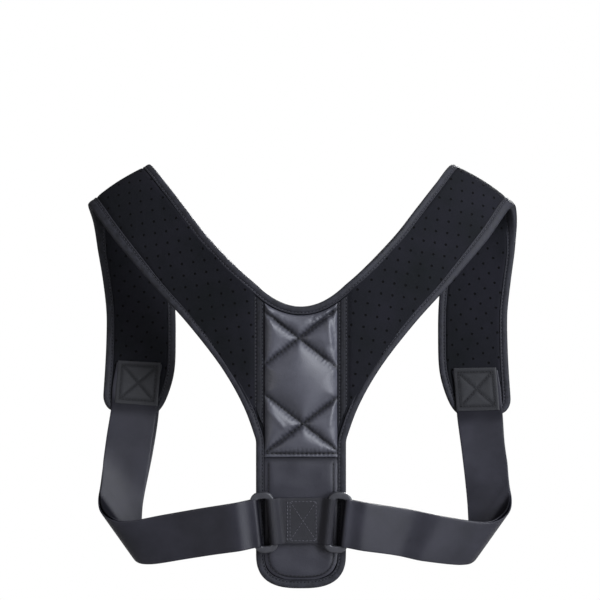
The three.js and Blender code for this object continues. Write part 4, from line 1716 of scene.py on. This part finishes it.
@dataclass
class RingHolder:
    """Webbing sewn to the tail and looped round the inner post of both rings."""

    ring: Ring
    height: float = 46.0
    waist: float = 18.5
    chamfer: float = 0.3
    selvage: float = 3.0
    # Left, right, lower and upper edge of the crossed box, from the holder's middle
    box: tuple[float, float, float, float] = (-11.0, 15.0, -19.5, 19.5)
    dots_x: float = -13.6
    dots_half: float = 20.0
    pick: float = 0.0028  # Flat length of the webbing between two points of its path, in metres

    def path(self) -> list[tuple[Spot, Spot]]:
        """Middle line of the looped webbing in plan and its outward direction, all round."""
        ring = self.ring
        post, depth = ring.post(False), ring.depth
        radius = ring.clear + ring.layer / 2
        front = ring.face - 1.5 * ring.layer
        path: list[tuple[Spot, Spot]] = [((x, depth + radius), (0, 1))
                                         for x in steps(10, -post.x, post.x)[:-1]]
        foot = Vector((self.waist - post.x, front - depth))
        leaves = math.atan2(foot.y, foot.x) + math.acos(radius / foot.length) - 2 * math.pi
        loop = [(math.cos(a), math.sin(a)) for a in steps(14, QUARTER, leaves)]
        path += [((post.x + radius * c, depth + radius * s), (c, s)) for c, s in loop]
        (top_x, top_y), _ = path[-1]
        for x in steps(30, top_x, -top_x)[1:-1]:
            t = max((abs(x) - self.waist) / (top_x - self.waist), 0)
            slope = (front - top_y) / (top_x - self.waist) * (4 * t - 3 * t * t)
            out = Vector((-math.copysign(slope, x), -1)).normalized()
            path.append(((x, mix(front, top_y, t * t * (2 - t))), (out.x, out.y)))
        path += [((-post.x - radius * c, depth + radius * s), (-c, s)) for c, s in reversed(loop)]
        return path

    def profile(self) -> list[Spot]:
        """Section of the webbing, as lifts and heights from its middle."""
        half, edge = self.ring.layer / 2, self.height / 2
        bevel, inner = edge - self.chamfer, edge - self.selvage
        one_side = [(-half, -bevel), (-half / 2, -edge), (half / 2, -edge), (half, -bevel),
                    *((half, z) for z in steps(8, -inner, inner))]
        return one_side + [(-lift, -z) for lift, z in one_side]

    def build(self) -> None:
        """Models the looped webbing and its stitches."""
        path, profile = self.path(), self.profile()
        middle = self.ring.post(False).z

        def place(i: int, j: int) -> Vector:
            lift, z = profile[i % len(profile)]
            (x, y), (out_x, out_y) = path[j % len(path)]
            lean = max(min(x / self.waist, 1), -1) * math.tan(self.ring.tilt) * z
            return Vector((x + out_x * lift + lean, y + out_y * lift, middle + z))

        def flat(i: int, j: int) -> Spot:
            return profile[i % len(profile)][1] * MM, j * self.pick

        piece = cut_sheet("ring_holder_webbing", len(profile), len(path), place, flat)
        close_skin(piece, is_ring=True)
        enlist(piece, HOLDER_WEBBING, "ring_holder")
        self.sew()

    def sew(self) -> None:
        """Stitches of the holder: a line beside the left loop and a crossed box."""
        face = self.ring.face - 2 * self.ring.layer
        middle = self.ring.post(False).z
        stitches = StitchRun("ring_holder_stitches", GREY_THREAD, pitch=3.4, length=2.2, girth=0.7)
        stitches.box([Vector((x, face, middle + z)) for x, z in corners(*self.box)], BACKWARDS)
        stitches.build()
        dots = StitchRun("ring_holder_dots", GREY_THREAD, pitch=3.6, length=1.9, girth=1.15)
        dots.line([Vector((self.dots_x, face - 0.05, middle + z))
                   for z in steps(10, -self.dots_half, self.dots_half)], BACKWARDS)
        dots.build()


@dataclass
class TailPad:
    """Plain leather cover on the lower panel."""

    ring: Ring
    half_width: float = 36.4
    bottom: float = 9.0
    blunt: float = 0.7
    top: float = 130.4
    rim: float = 0.8
    puff: float = 1.9
    fold: float = 0.3
    reach: float = 9.0
    seam: float = 12.6
    groove: float = 0.45
    groove_half: float = 1.1
    pressed: Spot = (25, 38)  # Distances from the holder's middle between which its pressure ends
    press: float = 0.4
    # Darkness of the painted shade along the upper edge, under the quilted pad's hem, and in the
    # stitched groove
    shades: Spot = (0.7, 0.75)
    shade_reach: float = 3.5
    columns: int = 40
    rows: int = 72
    crowding: float = 1.5  # Power that draws the rows together at the rounded end

    def half_at(self, z: float) -> float:
        """Half width of the cover at a height."""
        fall = CUT.tail_height - self.bottom + self.blunt
        return self.half_width * rounded(max(0.0, (CUT.tail_height - z) / fall))

    def height(self, x: float, z: float) -> float:
        """Height of the cover above the panel, pressed flat under the holder."""
        inside = min(self.half_at(z) - abs(x), z - self.bottom, self.top - z)
        share = math.sqrt(smoothstep(inside, 0, self.reach))
        fold = self.fold * math.sin(x / 6.1 + z / 11) * math.sin(z / 7.3 - x / 19)
        free = self.rim + (self.puff + fold) * share - self.groove * self.crease(x, z)
        loose = smoothstep(abs(z - self.ring.z), *self.pressed)
        return min(free, mix(self.ring.seat - self.press, free, loose))

    def crease(self, x: float, z: float) -> float:
        """Depth of the groove along the edge stitches."""
        power = CUT.squareness
        below = max(0.0, CUT.tail_height - z) / CUT.tail_height
        edge = (abs(x / CUT.panel_half) ** power + below ** power) ** (1 / power)
        near = (1 - edge) * mix(CUT.panel_half, CUT.tail_height, below ** 2)
        return bell(near - self.seam, self.groove_half) * smoothstep(self.top - z, 2, 6)

    def shade(self, place: Vector) -> float:
        """Depth of the painted shade at a place of the cover."""
        tucked, sewn = self.shades
        return max(tucked * bell(max(self.top - place.z, 0), self.shade_reach),
                   sewn * self.crease(place.x, place.z))

    def face(self, x: float, z: float) -> Vector:
        """Point on the cover's face."""
        return Vector((x, CUT.back_face - self.height(x, z), z))

    def sew(self) -> None:
        """Stitches along the cover's edge."""
        side = [(CUT.panel_half - self.seam, z)
                for z in steps(30, self.top - 4, CUT.tail_height + 1)]
        tail = [tail_station(t).at(self.seam, 0) for t in steps(48, QUARTER, -QUARTER)]
        spots = side + [(p.x, p.z) for p in tail] + [(-x, z) for x, z in reversed(side)]
        stitches = StitchRun("tail_pad_stitches", pitch=3.8, length=2.3, girth=0.8)
        stitches.line([self.face(x, z) for x, z in spots], BACKWARDS)
        stitches.build()

    def build(self) -> None:
        """Models the cover and its edge stitches."""
        heights = [mix(self.bottom, self.top, t ** self.crowding) for t in steps(self.rows)]
        shares = [math.sin(QUARTER * t) for t in steps(self.columns, -1, 1)]

        def spot(i: int, j: int) -> Spot:
            return self.half_at(heights[j]) * shares[i], heights[j]

        piece = cut_sheet("tail_pad_cover", self.columns, self.rows,
                          lambda i, j: self.face(*spot(i, j)), lambda i, j: on_cloth(*spot(i, j)))
        subdivide(piece)
        mark_painted_shade(piece, [self.shade(place) for place in panel_places(piece)])
        line_back(piece)
        enlist(piece, TAIL_LEATHER, "tail_pad")
        self.sew()


@dataclass
class SeamTape:
    """Tape over the seam between panel and strap."""

    side: Side
    inner: float = 36.7
    outer: float = 47.0
    thickness: float = 1.0
    stitch_inset: float = 1.9
    foot_inner: float = 160.0
    foot_outer: float = 185.0
    top_slope: float = 0.8
    columns: int = 22
    rows: int = 50

    def top(self, x: float) -> float:
        """Height of the upper end at a distance from the middle."""
        return quilt_top(min(x, CUT.seam_x)) + max(0.0, x - CUT.seam_x) * self.top_slope

    def foot(self, x: float) -> float:
        """Height of the lower end at a distance from the middle."""
        share = (x - self.inner) / (self.outer - self.inner)
        return mix(self.foot_inner, self.foot_outer, share)

    def inset(self, x: float) -> float:
        """Distance from the nearer edge."""
        return min(x - self.inner, self.outer - x)

    def lift(self, x: float) -> float:
        """Height above the panel: plump in the middle, drawn down at both rows of stitches."""
        inset = self.inset(x)
        sewn = bell(inset - self.stitch_inset, 0.8)
        return self.thickness * (0.75 + 0.65 * smoothstep(inset, 0, 4.5) - 0.6 * sewn)

    def shade(self, x: float) -> float:
        """Depth of the painted shade along stitches and edges."""
        inset = self.inset(x)
        return max(bell(inset - self.stitch_inset, 0.7), 0.8 * bell(inset, 0.5))

    def build(self) -> None:
        """Models the tape and its two rows of stitches."""
        xs = steps(self.columns, self.inner, self.outer)

        def height(k: int, j: int) -> float:
            return mix(self.foot(xs[k]), self.top(xs[k]), j / self.rows)

        def place(k: int, j: int, face: int) -> Vector:
            lift = self.lift(xs[k]) if face > 0 else 0
            return Vector((xs[k], CUT.back_face - lift, height(k, j)))

        name, mirror = f"seam_tape_{self.side.value}", self.side.mirror
        piece = cut_skin(f"{name}_ribbon", len(xs), self.rows, place,
                         lambda k, j: on_cloth(xs[k], height(k, j)), mirror,
                         lambda k, _: self.shade(xs[k]))
        enlist(piece, SEAM_TAPE, name)
        stitches = StitchRun(f"{name}_stitches", finish=TAPE_THREAD)
        for x in (self.inner + self.stitch_inset, self.outer - self.stitch_inset):
            depth = CUT.back_face - self.lift(x)
            path = [Vector((x, depth, z)) for z in steps(30, self.foot(x), self.top(x))]
            stitches.line(path, BACKWARDS, mirror)
        stitches.build()


@dataclass
class StrapPatch:
    """Leather patch over the webbing's fixed end, inside a strap's end."""

    strap: ShoulderStrap
    width: float = 45.0
    height: float = 45.0
    # Distance of its lower edge above each strap's end
    near: dict[Side, float] = field(default_factory=lambda: {Side.LEFT: 8.2, Side.RIGHT: 3.6})
    thickness: float = 1.2
    under: float = 5.6  # Height of its underside from the strap's middle
    shift: float = 1.3  # Distance of its middle from the strap's, towards the arm
    box: float = 0.1  # Distance of its crossed box of stitches from the edges, in its own width
    groove: float = 0.05
    count: int = 30

    def place(self, u: float, v: float, lift: float) -> Vector:
        """Point over the patch.

        Args:
            u: Share of its width, from the neck side.
            v: Share of its height, from the upper edge.
            lift: Height above its underside.

        Returns:
            The point in the panel's space.
        """
        band = self.strap.band
        row = row_above_end(band, self.near[self.strap.side] + self.height * (1 - v))
        across = band.section(row).width / 2 + self.shift + self.width * (u - 0.5)
        return band.point(row, across, -(self.under + lift))

    def relief(self, u: float, v: float) -> float:
        """Height of the leather: flat rim, plump between the crossed stitches."""
        rim = min(u, 1 - u, v, 1 - v)
        plump = 0.75 + 0.45 * smoothstep(rim, 0, 0.06)
        return self.thickness * (plump - 0.38 * self.pinch(u, v))

    def pinch(self, u: float, v: float) -> float:
        """How far the crossed box of stitches draws the leather down."""
        rim = min(u, 1 - u, v, 1 - v)
        cross = min(abs(u - v), abs(u + v - 1)) / math.sqrt(2) if rim > self.box else 1
        return bell(min(abs(rim - self.box), cross), self.groove)

    def build(self) -> None:
        """Models the patch and its crossed stitches."""
        side, shares = self.strap.side, steps(self.count)

        def place(k: int, j: int, face: int) -> Vector:
            u, v = shares[k], shares[j]
            return self.place(u, v, self.relief(u, v) if face > 0 else 0)

        def flat(k: int, j: int) -> Spot:
            return on_cloth(shares[k] * self.width, shares[j] * self.height)

        name = f"strap_patch_{side.value}"
        # The pinch of the crossed stitches also gives the depth of the painted shade along them
        piece = cut_skin(f"{name}_leather", len(shares), self.count, place, flat, side.mirror,
                         lambda k, j: self.pinch(shares[k], shares[j]) ** 2)
        enlist(piece, PATCH_LEATHER, name)
        stitches = StitchRun(f"{name}_stitches", pitch=3.2, length=2.2, girth=0.7)
        limits = (self.box, 1 - self.box)
        inside = -self.strap.band.normal(STRAP_END - 1, 35)
        stitches.box([Vector(corner) for corner in corners(*limits, *limits)], inside, 12,
                     side.mirror, lambda p: self.place(p.x, p.y, self.relief(p.x, p.y)))
        stitches.build()


@dataclass
class Webbing:
    """Elastic webbing from a strap's end round the body to the ring and back to the chest side."""

    strap: ShoulderStrap
    ring: Ring
    strap_rows: tuple[int, ...] = (10, 11, 12, 13, 14)
    # Rows below the strap: neck edge, arm edge, share of the strap's lean, layers' height
    below: tuple[Row, ...] = (
        ((160.8, 65, 127), (205.1, 63, 141), 0.75, 2.8),
        ((167.2, 54.5, 80), (208.7, 54, 119), 0.7, 1.8),
    )
    # Middle row of the corner bend, in the same form
    bend: Row = ((172.8, 31, 25.6), (207.8, 31, 74.8), 0.65, 1.7)
    # Rows from the bend to the ring, in the same form
    behind: tuple[Row, ...] = (
        ((118.5, 8, 27.5), (141, 10, 71.5), 0.2, 1.7),
        ((85, -1, 34.5), (95, 0, 81), 0, 1.9),
    )
    # Row of its route where each side's fixed end starts
    sewn_row: dict[Side, float] = field(default_factory=lambda: {Side.LEFT: 1.8, Side.RIGHT: 2.0})
    bend_radius: float = 16.0
    half_turn: float = 1.38
    # How far the neck edge and the arm edge run on through each half of the bend
    advance: Spot = (14, 22)
    step: int = 10
    # Swells in each side's run: rise, and the distances from the ring that bound it
    waves: dict[Side, tuple[Point, ...]] = field(default_factory=lambda: {
        Side.LEFT: ((7.4, 2.0, 17.0), (-7.4, 18.0, 85.0)),
        Side.RIGHT: ((4.6, 2.0, 16.0), (-4.6, 16.0, 58.0), (8.0, 60.0, 88.0), (-8.0, 90.0, 155.0)),
    })
    # Sideways shift of each side's layers at the strap's end, towards the arm
    stray: dict[Side, dict[Layer, float]] = field(default_factory=lambda: {
        Side.LEFT: {Layer.CHEST: 0.4, Layer.BODY_SIDE: 3.6},
        Side.RIGHT: {Layer.CHEST: 2.4, Layer.BODY_SIDE: 2.8},
    })
    stray_rows: tuple[Spot, Spot] = ((1, 3), (4, 7))
    # Shift of each side's neck edge below the strap, towards the spine
    spread: dict[Side, float] = field(default_factory=lambda: {Side.LEFT: 1.8, Side.RIGHT: -0.5})
    # Darkness of the painted shadow on the webbing just below the patch
    patch_shade: float = 0.6
    # Distances from the fixed end between which that painted shadow comes in and goes
    patch_runs: tuple[Spot, Spot] = ((34, 41), (46, 60))
    # Points of the section beside an edge: share of the width, share of the thickness
    border: tuple[Spot, ...] = ((0, 0.45), (0.006, 0.85), (0.03, 1.0))
    hem_insets: Spot = (2.0, 22.0)

    def edges(self, row: Row, spread: float = 0.0) -> tuple[Vector, Vector]:
        """Both edges of a row, moved by its share of the strap's sideways lean.

        Args:
            row: Row of the route.
            spread: Shift of the neck edge towards the spine.

        Returns:
            The neck edge and the arm edge.
        """
        (x, y, z), arm, share, _ = row
        lean = Vector((self.strap.side.drift * share, 0, 0))
        return Vector((x - spread, y, z)) + lean, Vector(arm) + lean

    def turned(self) -> list[tuple[Vector, Vector]]:
        """Both edges of the rows round the corner bend."""
        ends = self.edges(self.bend)
        axis = (ends[0] - ends[1]).normalized()
        away = Vector((-axis.z, 0, axis.x))
        rows = []
        for share in steps(4, -1, 1):
            turn = self.half_turn * share
            pair = []
            for edge, advance in zip(ends, self.advance):
                back = away * self.bend_radius * (math.cos(turn) - 1)
                point = edge + back + axis * advance * share
                point.y = edge.y - self.bend_radius * math.sin(turn)
                pair.append(point)
            rows.append(tuple(pair))
        return rows

    def route(self) -> tuple[Band, list[float]]:
        """Middle surface of the webbing and the height of its layers.

        Returns:
            The band from the chest to the ring's outer post, and the lift at each of its rows.
        """
        band, half = self.strap.band, CUT.web_width / 2
        rows: list[tuple[tuple[Vector, Vector], float]] = []
        for row in self.strap_rows:
            middle = band.section(row).width / 2
            rows.append(((band.point(row, middle - half, 0), band.point(row, middle + half, 0)),
                         CUT.binding_half + 2 * CUT.gap + CUT.web_half))
        spreads = (self.spread[self.strap.side], 0.0)
        rows += [(self.edges(row, spread), row[3]) for row, spread in zip(self.below, spreads)]
        rows += [(pair, self.bend[3]) for pair in self.turned()]
        rows += [(self.edges(row), row[3]) for row in self.behind]
        post, way = self.ring.post(True), self.ring.way
        rows.append(((post - way * half, post + way * half), self.ring.clear + CUT.web_half))
        pairs, lifts = zip(*rows)
        necks, arms = zip(*pairs)
        return Band(necks, arms, [0.0] * len(rows)), list(lifts)

    @staticmethod
    def distances(band: Band) -> np.ndarray:
        """Distance of each of the band's rows from the ring, along its middle."""
        marks = runs([band.neck.at(row).lerp(band.arm.at(row), 0.5) for row in band.rows])
        return marks[-1] - marks

    def sections(self) -> list[tuple[Vector, Vector, Vector, float]]:
        """Sections of the webbing from its fixed end round the post to its free end.

        Returns:
            Neck edge, arm edge, outward direction and run so far of each section.
        """
        band, lifts = self.route()
        side = self.strap.side
        marks = self.distances(band)
        come, go = self.stray_rows
        result: list[tuple[Vector, Vector, Vector, float]] = []

        def add(neck: Vector, arm: Vector, away: Vector) -> None:
            run = 0.0
            if result:
                before = result[-1]
                run = before[3] + ((neck + arm) / 2 - (before[0] + before[1]) / 2).length
            result.append((neck, arm, away, run))

        def layer(row: float, face: Layer) -> None:
            at = band.section(row)
            normal = band.normal(row, at.width / 2)
            here = min(int(row), band.last - 1)
            lift = mix(lifts[here], lifts[here + 1], smoothstep(row - here, 0, 1)) * face.value
            back = float(np.interp(row, band.rows, marks))
            lift += sum(rise * smoothstep(back, *span) for rise, *span in self.waves[side])
            stray = self.stray[side][face] * smoothstep(row, *come) * (1 - smoothstep(row, *go))
            offset = normal * lift + at.across * stray
            add(at.neck + offset, at.arm + offset, normal * face.value)

        last = band.last * self.step
        for k in range(round(self.sewn_row[side] * self.step), last):
            layer(k / self.step, Layer.BODY_SIDE)
        post = band.section(band.last)
        normal, along = band.normal(band.last, post.width / 2), band.along(band.last)
        for turn in steps(12, -QUARTER, QUARTER):
            away = along * math.cos(turn) + normal * math.sin(turn)
            offset = away * (self.ring.clear + CUT.web_half)
            add(post.neck + offset, post.arm + offset, away)
        for k in reversed(range(last)):
            layer(k / self.step, Layer.CHEST)
        return result

    def profile(self) -> list[Spot]:
        """Section of the webbing, as shares of its width and lifts."""
        face = [*self.border, *((share, 1.0) for share in steps(6, 0.1, 0.9)),
                *((1 - share, thick) for share, thick in reversed(self.border))]
        face = [(share, CUT.web_half * thick) for share, thick in face]
        return face + [(share, -lift) for share, lift in reversed(face)]

    def build(self) -> None:
        """Models the webbing and the hem of its free end."""
        side = self.strap.side
        sections, profile = self.sections(), self.profile()
        come, go = self.patch_runs

        def place(i: int, j: int) -> Vector:
            share, lift = profile[i % len(profile)]
            neck, arm, away, _ = sections[j]
            return neck.lerp(arm, share) + away * lift

        def flat(i: int, j: int) -> Spot:
            return on_cloth(profile[i % len(profile)][0] * CUT.web_width, sections[j][3])

        # Painted shade where the webbing turns round the ring's outer post, facing the spine, and a
        # painted shadow just below the patch
        def shade(_: int, j: int) -> float:
            _, _, away, run = sections[j]
            patch_shadow = self.patch_shade * smoothstep(run, *come) * (1 - smoothstep(run, *go))
            return max(smoothstep(-away.x, 0.2, 0.8), patch_shadow)

        name, length = f"webbing_{side.value}", sections[-1][3]
        log.info("%s: %.0f mm of webbing", name, length)
        piece = cut_sheet(f"{name}_ribbon", len(profile), len(sections) - 1, place, flat,
                          side.mirror, shade)
        close_skin(piece)
        enlist(piece, WEBBING, name)
        self.hem(sections)

    def hem(self, sections: Sequence[tuple[Vector, Vector, Vector, float]]) -> Piece:
        """Stitches across the free end.

        Args:
            sections: Sections of the webbing.

        Returns:
            The stitches.
        """
        stitches = StitchRun(f"webbing_{self.strap.side.value}_stitches", finish=GREY_THREAD)
        for inset in self.hem_insets:
            sewn = sections[-1][3] - inset
            neck, arm, away, _ = min(sections, key=lambda s: abs(sewn - s[3]))
            path = [neck.lerp(arm, t) + away * CUT.web_half for t in steps(10, 0.04, 0.96)]
            stitches.line(path, away, self.strap.side.mirror)
        return stitches.build()


@dataclass(frozen=True)
class Lamp:
    """Square soft light."""

    name: str
    place: Point
    target: Point
    size: float
    power: float
    color: Tint = (1.0, 1.0, 1.0)

    def build(self) -> None:
        """Adds the light."""
        data = bpy.data.lights.new(self.name, "AREA")
        data.size = self.size
        data.energy = self.power
        data.color = self.color
        lamp = bpy.data.objects.new(self.name, data)
        bpy.context.collection.objects.link(lamp)
        lamp.location = self.place
        way = Vector(self.target) - Vector(self.place)
        lamp.rotation_euler = way.to_track_quat("-Z", "Y").to_euler()


@dataclass
class Studio:
    """Camera, lights and floor."""

    eye: Point = (-1.0, -1550.0, 288.0)  # Place of the camera in the panel's millimetres
    lens: float = 93.0
    sensor: float = 36.0
    floor_depth: float = -0.75
    floor_radius: float = 5.0
    floor_tint: tuple[float, float, float, float] = (0.3, 0.3, 0.3, 1)
    ambient: float = 0.16
    lamps: tuple[Lamp, ...] = (
        Lamp("key_light", (1.3, -1.3, 1.0), (0.0, 0.0, -0.15), 0.9, 62.0, (0.92, 0.95, 1.0)),
        Lamp("side_light", (1.35, -1.35, -0.12), (0.0, 0.0, -0.25), 0.7, 37.0, (0.9, 0.93, 1.0)),
        Lamp("chest_light", (0.8, 2.0, 0.7), (0.0, 0.0, -0.2), 1.2, 95.0),
        Lamp("fill_light", (-1.6, -1.3, 0.2), (0.0, 0.0, -0.2), 1.2, 13.0),
        Lamp("top_light", (0.2, 0.3, 1.5), (0.0, 0.0, -0.1), 1.0, 12.0),
    )

    def build(self) -> None:
        """Sets up the whole studio."""
        self.camera()
        self.sky()
        self.floor()
        for lamp in self.lamps:
            lamp.build()
        settings = bpy.context.scene.view_settings
        settings.view_transform = "Standard"
        settings.look = "None"

    def camera(self) -> None:
        """Adds the camera, level and square to the panel."""
        data = bpy.data.cameras.new("camera")
        data.sensor_width = self.sensor
        data.lens = self.lens
        data.clip_end = 50
        camera = bpy.data.objects.new("camera", data)
        bpy.context.collection.objects.link(camera)
        camera.location = part_point(Vector(self.eye))
        camera.rotation_euler = (QUARTER, 0, 0)
        bpy.context.scene.camera = camera

    @staticmethod
    def show(board: Board, lit: Node, seen: Node, output: str) -> None:
        """Shows the camera another shader than the one that meets the light.

        Args:
            board: Board of the material or world.
            lit: Shader that meets the light.
            seen: Shader that the camera sees.
            output: Kind of the output node.
        """
        rays = board.add("LightPath").outputs["Is Camera Ray"]
        both = board.add("MixShader", {0: rays, 1: lit.outputs[0], 2: seen.outputs[0]})
        board.add(output, {"Surface": both.outputs[0]})

    def sky(self) -> None:
        """Adds a white surround that lights the brace only softly."""
        world = bpy.data.worlds.new("studio")
        board = Board.of(world)
        soft, white = (board.add("Background", {"Color": WHITE, "Strength": strength})
                       for strength in (self.ambient, 1.0))
        self.show(board, soft, white, "OutputWorld")
        bpy.context.scene.world = world

    def floor(self) -> None:
        """Adds a plain pale floor."""
        bpy.ops.object.select_all(action="DESELECT")
        bpy.ops.mesh.primitive_circle_add(vertices=64, radius=self.floor_radius, fill_type="NGON",
                                          location=(0, 0, self.floor_depth))
        bpy.ops.object.transform_apply(location=True, rotation=False, scale=False)
        floor = bpy.context.active_object
        floor.name = "studio_floor"
        material = bpy.data.materials.new("pale_floor")
        board = Board.of(material)
        matte = board.add("BsdfDiffuse", {"Color": self.floor_tint})
        glow = board.add("Emission", {"Color": WHITE, "Strength": 1.0})
        self.show(board, matte, glow, "OutputMaterial")
        floor.data.materials.append(material)


def main() -> None:
    """Builds and dresses the brace."""
    logging.basicConfig(level=logging.INFO, format="%(name)s %(relativeCreated)6d ms: %(message)s")
    Studio().build()
    ring = Ring()
    straps = (ShoulderStrap(Side.LEFT), ShoulderStrap(Side.RIGHT))
    SpinePanel().build()
    QuiltedPad().build()
    TailPad(ring).build()
    binding = EdgeBinding(straps)
    binding.build(is_arm=False)
    binding.build(is_arm=True)
    RingHolder(ring).build()
    for strap in straps:
        strap.build()
        SeamTape(strap.side).build()
        Webbing(strap, ring).build()
        StrapPatch(strap).build()
        ring.build(strap.side)


if __name__ == "__main__":
    main()
